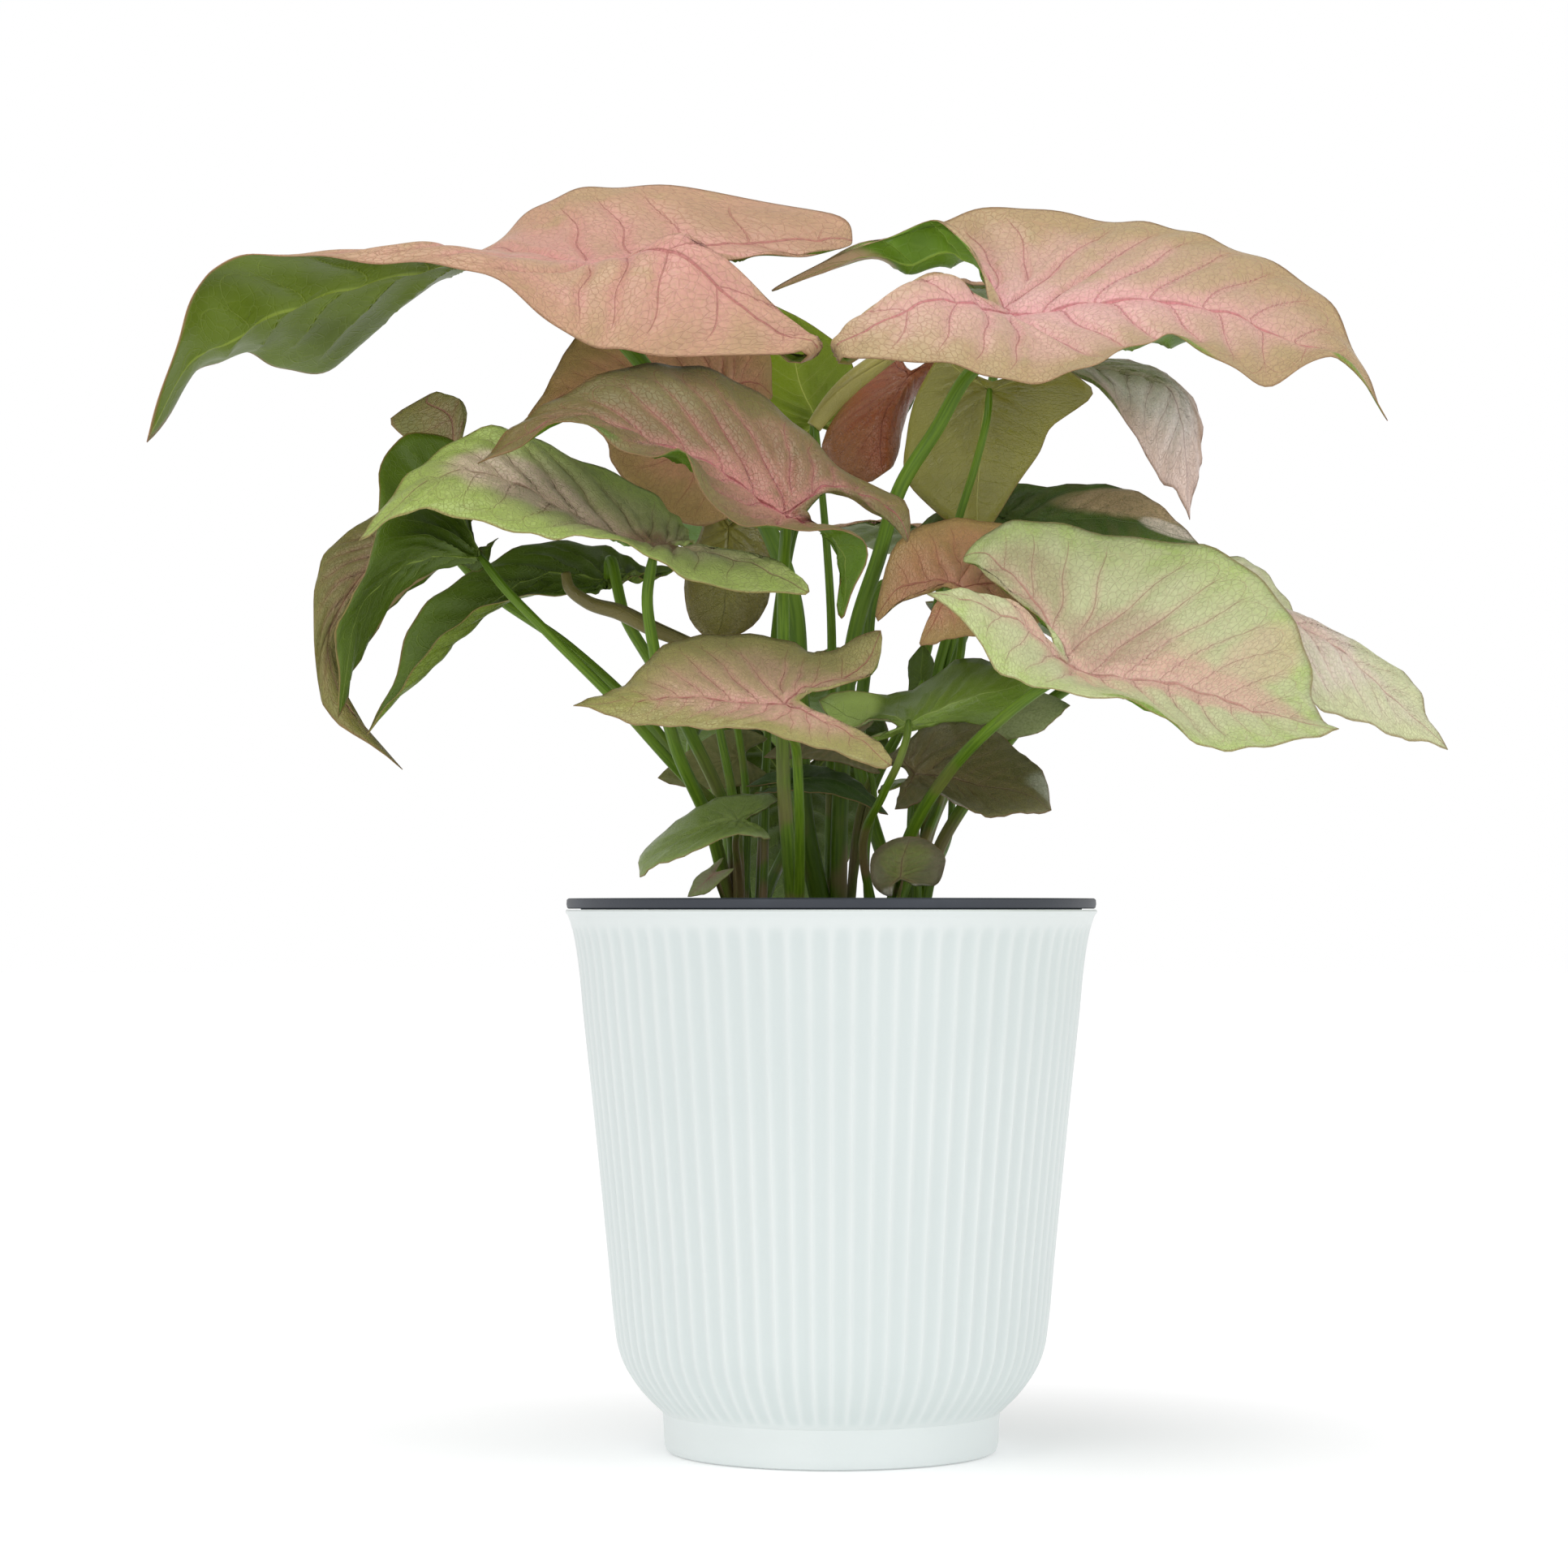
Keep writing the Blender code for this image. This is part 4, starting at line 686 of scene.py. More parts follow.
# Each leaf: its plantlet, its colour and the landmarks that shape it, then its stalk's way from the crown
LEAVES = {
    "wide_left_leaf": dict(
        crown="middle", tint=Tint.ROSE,
        knot=(-67.5, 334, -30), r1=(-103, 336, -28), r2=(-138, 328.5, -24), r3=(-172, 310, -20),
        tip=(-194, 284, -16), a1=(-185.5, 312, -32), a2=(-177, 333.5, -42), a3=(-140, 336, -54),
        a4=(-118, 335.5, -58), a5=(-98, 331.5, -60), a6=(-72, 313.5, -60), a7=(-48, 308.5, -58),
        a8=(-14, 309.8, -50), a9=(-3, 312.5, -46), a10=(-12, 318.5, -44), a11=(-38, 342, -44),
        ca=(-122, 339.5, -46), la=(-34, 326, -50), b1=(-181, 304, -6), b2=(-166, 309, 4),
        b3=(-141, 306, 14), b4=(-116, 327, 18), b5=(-98, 340, 16), b6=(-78, 353.5, 16), b7=(-45, 357, 14),
        b8=(1, 348, 4), b9=(6, 342, -4), b10=(-6, 337.5, -14), b11=(-26, 336, -20), cleft=(-58, 335, -30),
        stalk=[(-8, 180, -4), (-9, 215, -9), (-11, 240, -14), (-20, 264, -21), (-37, 288, -27),
               (-54, 307, -27)]),
    "wide_right_leaf": dict(
        crown="middle", tint=Tint.VIVID_ROSE,
        knot=(51.5, 321, -22), r1=(80, 324.5, -20), r2=(110, 321.5, -18), r3=(138, 310, -18),
        tip=(157, 289.5, -22), a1=(151.5, 303, -15), a2=(142, 322, 2), a3=(112, 340.5, 20),
        a5=(82, 346.5, 28), a6=(50, 351, 28), a7=(20, 344, 30), a8=(-1, 332, 6), a9=(-17, 327, 2),
        a10=(10, 341, 4), a11=(30, 347.5, 8), a12=(43.5, 330, -12), la=(24, 331, 16), b1=(143, 309, -24),
        b2=(124, 300, -38), b3=(96, 315, -50), b5=(72, 305, -58), b6=(50, 301.3, -60), b7=(25, 307.5, -56),
        b8=(6, 308, -50), b9=(0, 310.5, -47), b10=(7, 319, -43), b11=(27, 331.5, -34), cb=(99, 311, -38),
        cleft=(46, 323, -24),
        stalk=[(3, 190, -4), (8, 235, -12), (13, 250, -15), (20, 272, -18), (30, 288, -20),
               (38, 302, -22)]),
    "brown_pink_leaf": dict(
        crown="front", tint=Tint.BROWN_ROSE,
        knot=(-12.5, 264, -72), r1=(-30, 275.5, -72), r2=(-52, 285, -70), r3=(-76, 291, -68),
        tip=(-100, 278, -66), a2=(-73, 290, -76), a3=(-52, 279.5, -88), a4=(-42, 281, -92),
        a5=(-33, 266, -94), a6=(-15, 259.3, -90), a7=(9.5, 257, -76), a9=(3, 234, -66),
        a11=(-2, 258, -64), b2=(-84, 293.5, -58), b3=(-58, 305.5, -52), b5=(-33, 304, -46),
        b6=(-12, 292, -46), b7=(6, 273.5, -56), b8=(21, 268, -58), b9=(22, 256, -62),
        b11=(4, 269, -66), cleft=(-7, 265, -72),
        stalk=[(-13.5, 190, -41), (-13.5, 225, -44), (-13.5, 247, -54)]),
    "lime_left_leaf": dict(
        crown="left", tint=Tint.LIME,
        knot=(-50, 254, -56), r1=(-70, 262, -56), r2=(-92, 273.5, -54), r3=(-113, 273, -56),
        tip=(-134, 257, -66), a2=(-113, 265, -70), a3=(-88, 258, -80), a5=(-68, 257.5, -84),
        a6=(-50, 251.5, -84), a7=(-33, 242.5, -80), a9=(-6, 242, -76), a10=(-16, 250, -72),
        a11=(-34, 254, -66), b2=(-117, 277, -44), b3=(-97, 288.3, -42), b5=(-70, 279, -38),
        b6=(-50, 269, -38), b7=(-42, 261, -40), b9=(-38, 255, -44), b11=(-42, 255, -50),
        cleft=(-46, 254, -56),
        stalk=[(-34, 175, -20), (-44, 198, -34), (-50, 225, -46), (-52, 240, -50)]),
    "folded_left_leaf": dict(
        crown="left", tint=Tint.GREEN,
        knot=(-100, 251.5, -40), r1=(-112, 252.5, -44), r2=(-124, 247, -46), r3=(-134, 235, -48),
        tip=(-139, 206, -50), a2=(-141, 228, -56), a3=(-133, 245, -58), a5=(-128, 264, -50),
        a6=(-128, 277, -34), a7=(-119, 287, -26), a9=(-100, 281, -22), a11=(-102, 264, -32),
        b2=(-136, 217, -42), b3=(-129, 231, -34), b5=(-119, 242.5, -28), b6=(-108, 249.5, -26),
        b7=(-99, 248, -30), b9=(-94.5, 257, -30), b11=(-99, 254, -36),
        stalk=[(-30, 178, -14), (-42, 190, -22), (-62, 212, -34), (-82, 232, -44), (-93, 243.5, -45)]),
    "draped_left_leaf": dict(
        crown="back_left", tint=Tint.MOSS_ROSE,
        knot=(-112, 258, 6), r1=(-126, 252, 4), r2=(-137, 240, 2), r3=(-142, 221, -2),
        tip=(-121, 191.5, -8), a1=(-130, 200.5, -2), a2=(-138, 213, 2), a3=(-130, 233, 4),
        a5=(-116, 246, 4), a6=(-104, 258, 2), a9=(-100, 280, 2), b1=(-138, 203, -8), b2=(-144.5, 212, -4),
        b3=(-146.5, 240, 2), b5=(-140, 256, 8), b6=(-125, 268, 12), b7=(-118.5, 283, 12),
        b8=(-125, 291, 14), b9=(-113, 298, 12), b10=(-106, 297, 10), b11=(-103.5, 290, 8),
        stalk=[(-44, 195, 22), (-74, 226, 25), (-98, 243, 25)]),
    "hanging_green_leaf": dict(
        crown="left", tint=Tint.GREEN,
        knot=(-63.5, 244, -20), r1=(-80, 246, -20), r2=(-95, 238, -20), r3=(-113, 220.5, -22),
        tip=(-131.5, 201, -26), a2=(-120.5, 230, -16), a3=(-105, 245.5, -10), a5=(-82, 255.5, -4),
        a6=(-65, 255, -4), a7=(-55, 250, -8), a9=(-42, 248.5, -14), a11=(-53, 245.5, -16),
        b1=(-125.5, 210.5, -26), b2=(-117, 221, -26), b3=(-102, 236, -28), b5=(-78, 241, -28),
        b6=(-68, 241.5, -26), b7=(-60, 245, -16), b9=(-48, 246, -15), b11=(-57, 246, -17),
        stalk=[(-30, 180, -8), (-39, 200, -14), (-51, 222, -25), (-58, 234, -31)]),
    "pink_centre_leaf": dict(
        crown="front", tint=Tint.DUSTY_ROSE,
        knot=(-12.5, 210, -84), r1=(-27, 210.5, -84), r2=(-42, 211.5, -84), r3=(-58, 210.5, -82),
        tip=(-73, 210, -78), a2=(-58, 205, -88), a3=(-42, 203.3, -94), a5=(-24, 203, -98),
        a6=(-10, 199.5, -98), a7=(3, 195.5, -94), a9=(17, 192.5, -86), a10=(13, 199, -84),
        a11=(2, 205, -86), b2=(-60, 214, -74), b3=(-49, 225, -66), b5=(-30, 230, -58),
        b6=(-12, 227.5, -56), b7=(-1, 224.5, -58), b9=(14, 231, -56), b10=(12, 218.5, -64),
        b11=(-2, 214, -76), cleft=(-9, 210.5, -84),
        stalk=[(-9, 180, -52), (-10, 198, -66)]),
    "big_right_leaf": dict(
        crown="right", tint=Tint.LIME_ROSE,
        knot=(68, 220.5, -72), r1=(86, 217, -74), r2=(104, 212.5, -74), r3=(124, 206.5, -70),
        tip=(143, 202, -62), a1=(138, 206, -56), a2=(136, 217, -50), a3=(128, 238, -40),
        a4=(118, 248, -36), a5=(105, 254.5, -32), a6=(78, 258, -30), a7=(53, 262, -34),
        a8=(44, 258.5, -36), a9=(37.5, 251, -42), a11=(50, 241, -56), b1=(137, 201, -68),
        b2=(122, 197.5, -84), b3=(105, 198.5, -94), b5=(84, 211, -98), b6=(60, 214, -98),
        b7=(46, 221, -94), b8=(37, 234, -84), b9=(27, 240.5, -74), b10=(38, 242, -72), b11=(52, 238, -72),
        cleft=(64.5, 225, -72),
        stalk=[(22, 172, -26), (32, 189, -40), (45, 203, -56), (56, 212, -64)]),
    "far_right_leaf": dict(
        crown="back_right", tint=Tint.PALE_ROSE,
        knot=(112, 238, -8), r1=(127, 235, -8), r2=(143, 226, -8), r3=(158, 210.5, -8), tip=(174, 197, -8),
        a2=(165.5, 214, 4), a3=(151, 225, 10), a5=(136, 231.5, 12), a6=(129, 238, 10), a7=(121, 249, 8),
        a9=(106, 251, 2), b2=(160, 200.5, -16), b3=(145, 206, -24), b5=(132, 212, -28), b6=(118, 222, -26),
        b9=(96, 232, -16),
        stalk=[(30, 168, 24), (40, 185, 26), (55, 205, 26), (78, 221, 20), (97, 229, 10)]),
    "silvery_leaf": dict(
        crown="back_right", tint=Tint.SILVER_ROSE,
        knot=(66, 306, 18), r1=(82, 303.5, 10), r2=(96, 298.5, 6), r3=(100, 284, 4),
        tip=(101.5, 262, 2), a2=(104.5, 278, 10), a3=(104, 292, 14), a5=(93, 304.5, 20),
        a6=(78, 307.5, 24), a7=(66, 309, 26), a9=(54, 310, 26), b2=(94, 272, 0), b3=(85, 287, 0),
        b5=(76, 299, 8), b6=(66, 304, 12), b9=(52, 306, 16),
        stalk=[(24, 190, 32), (36, 240, 42), (52, 285, 38)]),
    "olive_back_leaf": dict(
        crown="middle", tint=Tint.OLIVE,
        knot=(45, 299, 4), r2=(42, 280, 8), tip=(42, 256, 10), a2=(31, 263, 10), a3=(22, 272, 10),
        a5=(21, 283, 10), a6=(23, 294, 8), a7=(27, 303, 6), a9=(34, 312, 4), b2=(52, 271, 8),
        b3=(59, 281, 7), b5=(63, 289, 5), b6=(74, 297, 1), b7=(68, 304, -2), b9=(58, 310, -3),
        stalk=[(10, 185, 4), (23, 210, 3), (27, 224, 2), (31, 243, 0), (36, 262, -2), (41, 278, -5),
               (44, 290, -5)]),
    "red_brown_leaf": dict(
        crown="back_left", tint=Tint.RED_BROWN,
        knot=(22, 303, 24), r1=(18, 297, 21), r2=(14.5, 290, 20), tip=(15.5, 275.5, 20),
        a2=(18.5, 279.5, 24), a3=(20, 286, 26), a5=(22, 294, 28), a6=(27, 301, 28), a9=(30, 308, 28),
        b2=(8, 272.5, 22), b3=(-2.5, 279, 26), b5=(1, 291, 30), b6=(7, 299, 32), b9=(18, 310, 32),
        stalk=[(-18, 200, 34), (-13, 245, 38), (-8, 264, 40), (11, 281, 40)]),
    "bright_back_leaf": dict(
        crown="back_left", tint=Tint.BRIGHT_GREEN,
        knot=(-4, 290, 40), r1=(-7, 297, 41), r2=(-10, 306, 42), tip=(-16, 323, 40), a2=(-4, 316.5, 42),
        a3=(3, 311, 44), a5=(7, 303, 44), a6=(8, 294, 42), a9=(6, 282, 38), b2=(-20, 318, 42),
        b3=(-25, 309, 46), b5=(-24, 298, 46), b6=(-18, 290, 44), b9=(-13, 280, 40),
        stalk=[(-18, 200, 26), (-14, 245, 30), (-10, 265, 32), (-6, 279, 33)]),
    "salmon_leaf": dict(
        crown="back_left", tint=Tint.SALMON,
        knot=(-30, 296, 4), r1=(-44, 299, 4), r2=(-58, 301, 4), r3=(-73, 298, 2), tip=(-86, 292, 0),
        a2=(-73, 294, -6), a3=(-64, 285, -10), a5=(-59, 274, -10), a6=(-44, 262, -10),
        a7=(-30, 262, -8), a9=(-12, 272, -2), b2=(-78, 305, 6), b3=(-71, 315, 10), b5=(-50, 322, 14),
        b6=(-32, 321, 14), b7=(-18, 311, 12), b9=(-16.5, 297, 6), b11=(-25, 297, 5),
        stalk=[(-27, 190, 26), (-27, 240, 22), (-28, 280, 15)]),
    "olive_centre_leaf": dict(
        crown="left", tint=Tint.OLIVE,
        knot=(-29, 260, 3), r2=(-30, 245, 1), tip=(-33, 227, 1), a2=(-22, 232, 4),
        a3=(-17.5, 240, 6), a5=(-17, 251, 7), a6=(-18, 260, 8), a9=(-20, 269, 8), b2=(-40, 234, 3),
        b3=(-41.5, 245, 4), b5=(-38, 256, 5), b6=(-35, 264, 7), b9=(-33, 270, 8),
        stalk=[(-24, 185, -2), (-28, 215, 9), (-29, 245, 13)]),
    "dark_right_leaf": dict(
        crown="back_right", tint=Tint.DARK_GREEN,
        knot=(50, 262, 22), r1=(62, 262, 16), r2=(76, 262.5, 14), r3=(90, 260, 12), tip=(104, 255, 10),
        a2=(93, 266, 16), a3=(80, 271.8, 22), a5=(62, 271.5, 26), a6=(48, 272.5, 28),
        a7=(34, 267, 26), a9=(24, 259, 22), b2=(86, 252, 2), b3=(74, 248, 0), b5=(58, 246, 0),
        b6=(44, 248, 2), b9=(24, 250, 10),
        stalk=[(24, 185, 22), (36, 225, 30), (46, 250, 30)]),
    "orange_salmon_leaf": dict(
        crown="right", tint=Tint.SALMON,
        knot=(37, 243, -32), r2=(60, 244, -20), tip=(84, 243, -10), a3=(62, 257, -2), a5=(48, 261, -6),
        a6=(33, 262, -12), a7=(19, 256, -20), a9=(12.5, 234, -34), a11=(26, 240.5, -32),
        b3=(62, 234, -30), b5=(52, 231, -38), b6=(43, 229.5, -42), b7=(33, 228, -44),
        b9=(25, 226.5, -44), b11=(30, 239, -36),
        stalk=[(27, 173, -4), (31, 184, 5), (33, 200, 5), (35, 215, -8), (37, 228, -20)]),
    "lime_tip_leaf": dict(
        crown="right", tint=Tint.PALE_GREEN,
        knot=(22, 204, -52), r2=(42, 212, -46), tip=(60, 217, -42), a2=(56, 211, -43), a3=(46, 204.5, -45),
        a5=(36, 205, -47), a6=(27, 203.5, -49), a7=(18, 201, -51), a9=(10, 199, -52), b2=(55, 220, -32),
        b3=(46, 222, -26), b5=(35, 221.8, -22), b6=(24, 214.5, -26), b7=(14, 212.5, -32), b8=(5, 214, -38),
        b9=(-3.5, 211, -44), b10=(3, 203, -48), b11=(11, 205.5, -48),
        stalk=[(9, 170, -26), (15, 185, -46), (20, 196, -58), (21.5, 201, -56)]),
    "bronze_leaf": dict(
        crown="right", tint=Tint.BRONZE,
        knot=(24, 190, -14), r2=(43, 186, -18), tip=(62, 179.5, -22), a2=(60, 190.5, -12),
        a3=(53, 196.5, -6), a5=(42, 204.5, -2), a6=(30, 204.5, -2), a7=(21, 199, -4), a9=(15, 194, -8),
        b2=(54, 179, -28), b3=(45, 178, -32), b5=(38, 180.5, -32), b6=(30, 184.5, -30), b7=(24, 182, -28),
        b9=(18, 180, -24),
        stalk=[(21, 168, -8), (24, 178, -8)]),
    "glossy_small_leaf": dict(
        crown="right", tint=Tint.PALE_GREEN,
        knot=(46, 206, 10), r2=(56, 208, 8), tip=(67.5, 209.5, 4), a3=(60, 213, 16), a6=(47, 214, 18),
        a9=(38, 213, 18), b3=(60, 202.5, 2), b6=(47, 199.5, 4), b9=(38, 200, 8),
        stalk=[(24, 168, 4), (33, 186, 14), (40, 199, 18)]),
    "lower_left_leaf": dict(
        crown="left", tint=Tint.PALE_GREEN,
        knot=(-26, 177, -44), r2=(-40, 173, -48), tip=(-54, 161, -52), a2=(-49, 164.5, -56),
        a3=(-41, 167, -60), a5=(-32, 171.5, -58), a6=(-25, 173, -54), a9=(-17, 172, -46),
        b2=(-53, 168.5, -42), b3=(-43, 177, -36), b5=(-33, 183, -33), b6=(-23, 184.5, -32),
        b9=(-15, 183, -34),
        stalk=[(-26, 162, -22), (-27, 170, -32)]),
    "dark_low_leaf": dict(
        crown="front", tint=Tint.DARK_GREEN,
        knot=(-12, 187.5, -24), r2=(2, 188, -24), tip=(16, 178.5, -26), a2=(9, 181.5, -30),
        a3=(2, 184, -32), a5=(-5, 185, -32), a6=(-12, 185.5, -32), a9=(-22, 184.5, -26), b2=(10, 186, -20),
        b3=(3, 190.5, -16), b5=(-6, 192.5, -14), b6=(-14, 191.5, -14), b9=(-24, 186.5, -18),
        stalk=[(-9, 166, -31), (-11, 178, -37), (-12.5, 186.5, -36)]),
    "baby_heart_leaf": dict(
        crown="right", tint=Tint.HEART,
        knot=(19.5, 161, -44), r2=(20.5, 167, -44), tip=(22, 172.5, -42), a2=(17, 171.5, -42),
        a3=(12.5, 168.5, -42), a5=(11, 164, -43), a6=(11.5, 159.5, -44), a7=(14, 156.5, -44),
        a9=(17, 155.5, -44), b2=(27, 171.5, -40), b3=(31.5, 168, -40), b5=(32, 164, -40),
        b6=(31, 160.5, -41), b7=(29, 158.5, -42), b9=(25, 158.8, -43),
        stalk=[(17, 153, -30)]),
    "pale_small_leaf": dict(
        crown="left", tint=Tint.LIME_ROSE,
        knot=(-33, 162, -33), r2=(-36, 159, -35), tip=(-40.5, 155.5, -38), a3=(-35, 156.5, -37),
        a6=(-31, 160, -35), b3=(-38.5, 160.5, -33), b6=(-34.5, 163.5, -31),
        stalk=[(-30, 154, -24)]),
    "bronze_middle_leaf": dict(
        crown="right", tint=Tint.BRONZE,
        knot=(4, 199, -22), r2=(-8, 198, -24), tip=(-19, 195, -26), a3=(-8, 194.5, -26), a6=(4, 193, -26),
        a9=(14, 190.5, -24), b3=(-7, 203, -20), b6=(4, 206, -18), b9=(12, 205, -18),
        stalk=[(10, 168, -12), (12, 186, -9), (9, 196, -12)]),
    "small_green_leaf": dict(
        crown="middle", tint=Tint.GREEN,
        knot=(25.5, 216, -8), r2=(25.5, 221, -8), tip=(26, 227, -8), a3=(29, 222, -6), a6=(28, 216, -6),
        b3=(22, 222, -6), b6=(22, 216, -6),
        stalk=[(12, 185, 2), (22, 206, -2)]),
    "shaded_left_leaf": dict(
        crown="back_left", tint=Tint.DUSKY_GREEN,
        knot=(-26, 195, 8), r2=(-38, 192, 8), tip=(-49, 189, 6), a3=(-37, 186, 4), a6=(-25, 187, 4),
        a9=(-18, 190, 6), b3=(-37, 199, 10), b6=(-27, 203, 10), b9=(-18, 200, 10),
        stalk=[(-24, 176, 20)]),
}

# Leaves on the far side: knot (x, y, z), heading in degrees from +X, fall of the tip, length and colour
FAR_LEAVES = {
    "far_side_leaf_1": dict(crown="back_right", knot=(46, 98, 262), heading=55, fall=14, length=80,
                            tint=Tint.ROSE, stalk=[(8, 195, 44), (10, 222, 60), (14, 243, 78)]),
    "far_side_leaf_2": dict(crown="back_left", knot=(-34, 78, 286), heading=95, fall=12, length=64,
                            tint=Tint.LIME, stalk=[(-30, 205, 26), (-32, 245, 44)]),
    "far_side_leaf_3": dict(crown="back_right", knot=(74, 62, 240), heading=52, fall=8, length=76,
                            tint=Tint.GREEN, stalk=[(27, 172, 32), (36, 192, 40), (52, 212, 48)]),
    "far_side_leaf_4": dict(crown="back_left", knot=(-10, 66, 190), heading=98, fall=50, length=58,
                            tint=Tint.GREEN),
    "far_side_leaf_5": dict(crown="back_left", knot=(-22, 80, 216), heading=98, fall=30, length=66,
                            tint=Tint.DUSTY_ROSE, stalk=[(-37, 183, 38), (-38, 203, 56)]),
    "far_side_leaf_6": dict(crown="back_right", knot=(36, 72, 190), heading=78, fall=-5, length=44,
                            tint=Tint.GREEN),
    "far_side_leaf_7": dict(crown="back_left", knot=(-38, 82, 320), heading=100, fall=10, length=66,
                            tint=Tint.VIVID_ROSE, stalk=[(-27, 225, 28), (-29, 280, 40)]),
    "far_side_leaf_8": dict(crown="back_right", knot=(50, 66, 338), heading=80, fall=-8, length=66,
                            tint=Tint.ROSE, stalk=[(36, 240, 44), (44, 290, 50)]),
}

# How a far side leaf bends, in parts of its length: the tip's droop, the lift and roll of its halves
FAR_DROOP = 0.22
FAR_LIFT = 0.35
FAR_ROLL = 0.9
FAR_WIDTH = 1.05

# Young leaves that are still rolled: their way from foot to end, widest radius and stalk
ROLLED_LEAVES = {
    "unfurling_leaf": dict(
        crown="middle", tint=Tint.TAN, radius=3.3,
        way=[(-5, 288.5, 11), (-1, 294, 11), (4.5, 300, 11), (12, 306, 11), (21, 312, 11)],
        stalk=[(0, 190, 8), (0, 235, 10), (-3, 275, 13)]),
    "rolled_shoot": dict(
        crown="left", tint=Tint.BRONZE, radius=2.3,
        way=[(-40, 227, -36), (-50, 231, -39), (-60, 236, -42), (-69, 239, -43), (-74, 243, -43),
             (-75, 247, -42)],
        stalk=[(-27, 178, -20), (-31, 200, -27), (-35, 217, -33)]),
}

STALK_WIDTH_PER_LENGTH = 0.013
STALK_LEAST_RADIUS = 0.5
STALK_FOOT_WIDENING = 1.4
STALK_ROOT_DEPTH = 16.0
STALK_COLLAR_RISE = 18.0
STALK_LEAN = 3.5
STALK_BEND = 7.0
STALK_BEND_SPACING = 12.0


SIGHT = Sight()
YOUNG_STALK_RADII = (2.0, 0.9)


def add_piece(
    name: str,
    points: np.ndarray,
    faces: list,
    materials: Sequence[bpy.types.Material],
    numbers: np.ndarray | None = None,
    flat: np.ndarray | None = None,
) -> bpy.types.Object:
    """Link a smooth shaded mesh object.

    Args:
        name: the object's name.
        points: vertices in metres.
        faces: vertex numbers of each face, turned outwards.
        materials: its materials.
        numbers: which of them each face has.
        flat: a vector for each vertex, kept as the attribute "flat".

    Returns:
        The new object.
    """
    mesh = bpy.data.meshes.new(name)
    mesh.from_pydata(points.tolist(), [], faces)
    for material in materials:
        mesh.materials.append(material)
    if numbers is not None:
        mesh.polygons.foreach_set("material_index", np.asarray(numbers, dtype=np.int32))
    if flat is not None:
        layer = mesh.attributes.new("flat", "FLOAT_VECTOR", "POINT")
        layer.data.foreach_set("vector", np.asarray(flat, dtype=np.float32).ravel())
    mesh.shade_smooth()
    piece = bpy.data.objects.new(name, mesh)
    bpy.context.scene.collection.objects.link(piece)
    return piece


def settle(piece: bpy.types.Object, slot: str, *nodes: str) -> None:
    """Let a piece ride on the plant's one body and stand for its nodes."""
    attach(piece, "root")
    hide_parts(*nodes)


def band(rings: int, around: int, start: int = 0) -> np.ndarray:
    """Return the four-sided faces between stacked closed rings of vertices, turned outwards.

    Args:
        rings: how many rings there are.
        around: vertices in each ring, which run counterclockwise seen from the last ring's side.
        start: the first vertex's number.

    Returns:
        One row of four vertex numbers for each face.
    """
    level = np.arange(rings - 1)[:, None] * around + start
    first = np.arange(around)[None, :]
    second = (first + 1) % around
    near, near_next = level + first, level + second
    return np.stack((near, near_next, near_next + around, near + around), axis=-1).reshape(-1, 4)


def smooth_way(points: Sequence, count: int) -> np.ndarray:
    """Return evenly spaced points of a smooth curve through the given ones.

    Each stretch is a cubic Hermite curve on the length of its chord, with the slopes of numpy's gradient.

    Args:
        points: the places that the curve passes.
        count: how many points to return.

    Returns:
        One row for each point.
    """
    points = np.asarray(points, dtype=float)
    length = np.concatenate(([0.0], np.cumsum(np.linalg.norm(np.diff(points, axis=0), axis=1))))
    slopes = np.gradient(points, length, axis=0)
    at = np.linspace(0.0, length[-1], count)
    piece = np.clip(np.searchsorted(length, at, side="right") - 1, 0, len(length) - 2)
    span = (length[piece + 1] - length[piece])[:, None]
    s = (at - length[piece])[:, None] / span
    start = (2 * s**3 - 3 * s**2 + 1) * points[piece] + (s**3 - 2 * s**2 + s) * span * slopes[piece]
    finish = (3 * s**2 - 2 * s**3) * points[piece + 1] + (s**3 - s**2) * span * slopes[piece + 1]
    return start + finish


def frames_along(way: np.ndarray) -> tuple[np.ndarray, np.ndarray]:
    """Return two unit vectors across a way at each point, square to it and to each other."""
    forward = np.gradient(way, axis=0)
    forward /= np.linalg.norm(forward, axis=1, keepdims=True)
    side = np.cross(forward, (0.3, 1.0, 0.1))
    side /= np.linalg.norm(side, axis=1, keepdims=True)
    return side, np.cross(forward, side)


def tube(way: np.ndarray, radii: np.ndarray, sides: int) -> tuple[np.ndarray, np.ndarray]:
    """Return a round tube: each way point plus its radius times a circle across the way.

    Args:
        way: the middle line.
        radii: the radius at each of its points.
        sides: vertices in each ring.

    Returns:
        The vertices ring by ring, and for each one its share along, its turn and its radius share.
    """
    side, other = frames_along(way)
    turn = np.arange(sides) * math.tau / sides
    circle = np.cos(turn)[None, :, None] * side[:, None] + np.sin(turn)[None, :, None] * other[:, None]
    points = way[:, None] + radii[:, None, None] * circle
    share = np.broadcast_to(np.linspace(0.0, 1.0, len(way))[:, None], points.shape[:2])
    flat = np.stack((share, np.broadcast_to(np.sin(turn), share.shape), np.broadcast_to(np.cos(turn), share.shape)), -1)
    return points.reshape(-1, 3), flat.reshape(-1, 3)


def capped(rings: int, sides: int, start: int = 0) -> list:
    """Return the faces of a closed tube with a flat cap on each end."""
    last = start + (rings - 1) * sides
    faces = band(rings, sides, start).tolist()
    faces.append(list(range(start, start + sides))[::-1])
    faces.append(list(range(last, last + sides)))
    return faces


def plate(distance: np.ndarray) -> np.ndarray:
    """Return a thin plate's bending at a distance r from one landmark, r squared times log r."""
    return distance**2 * np.log(np.maximum(distance, 1e-9))


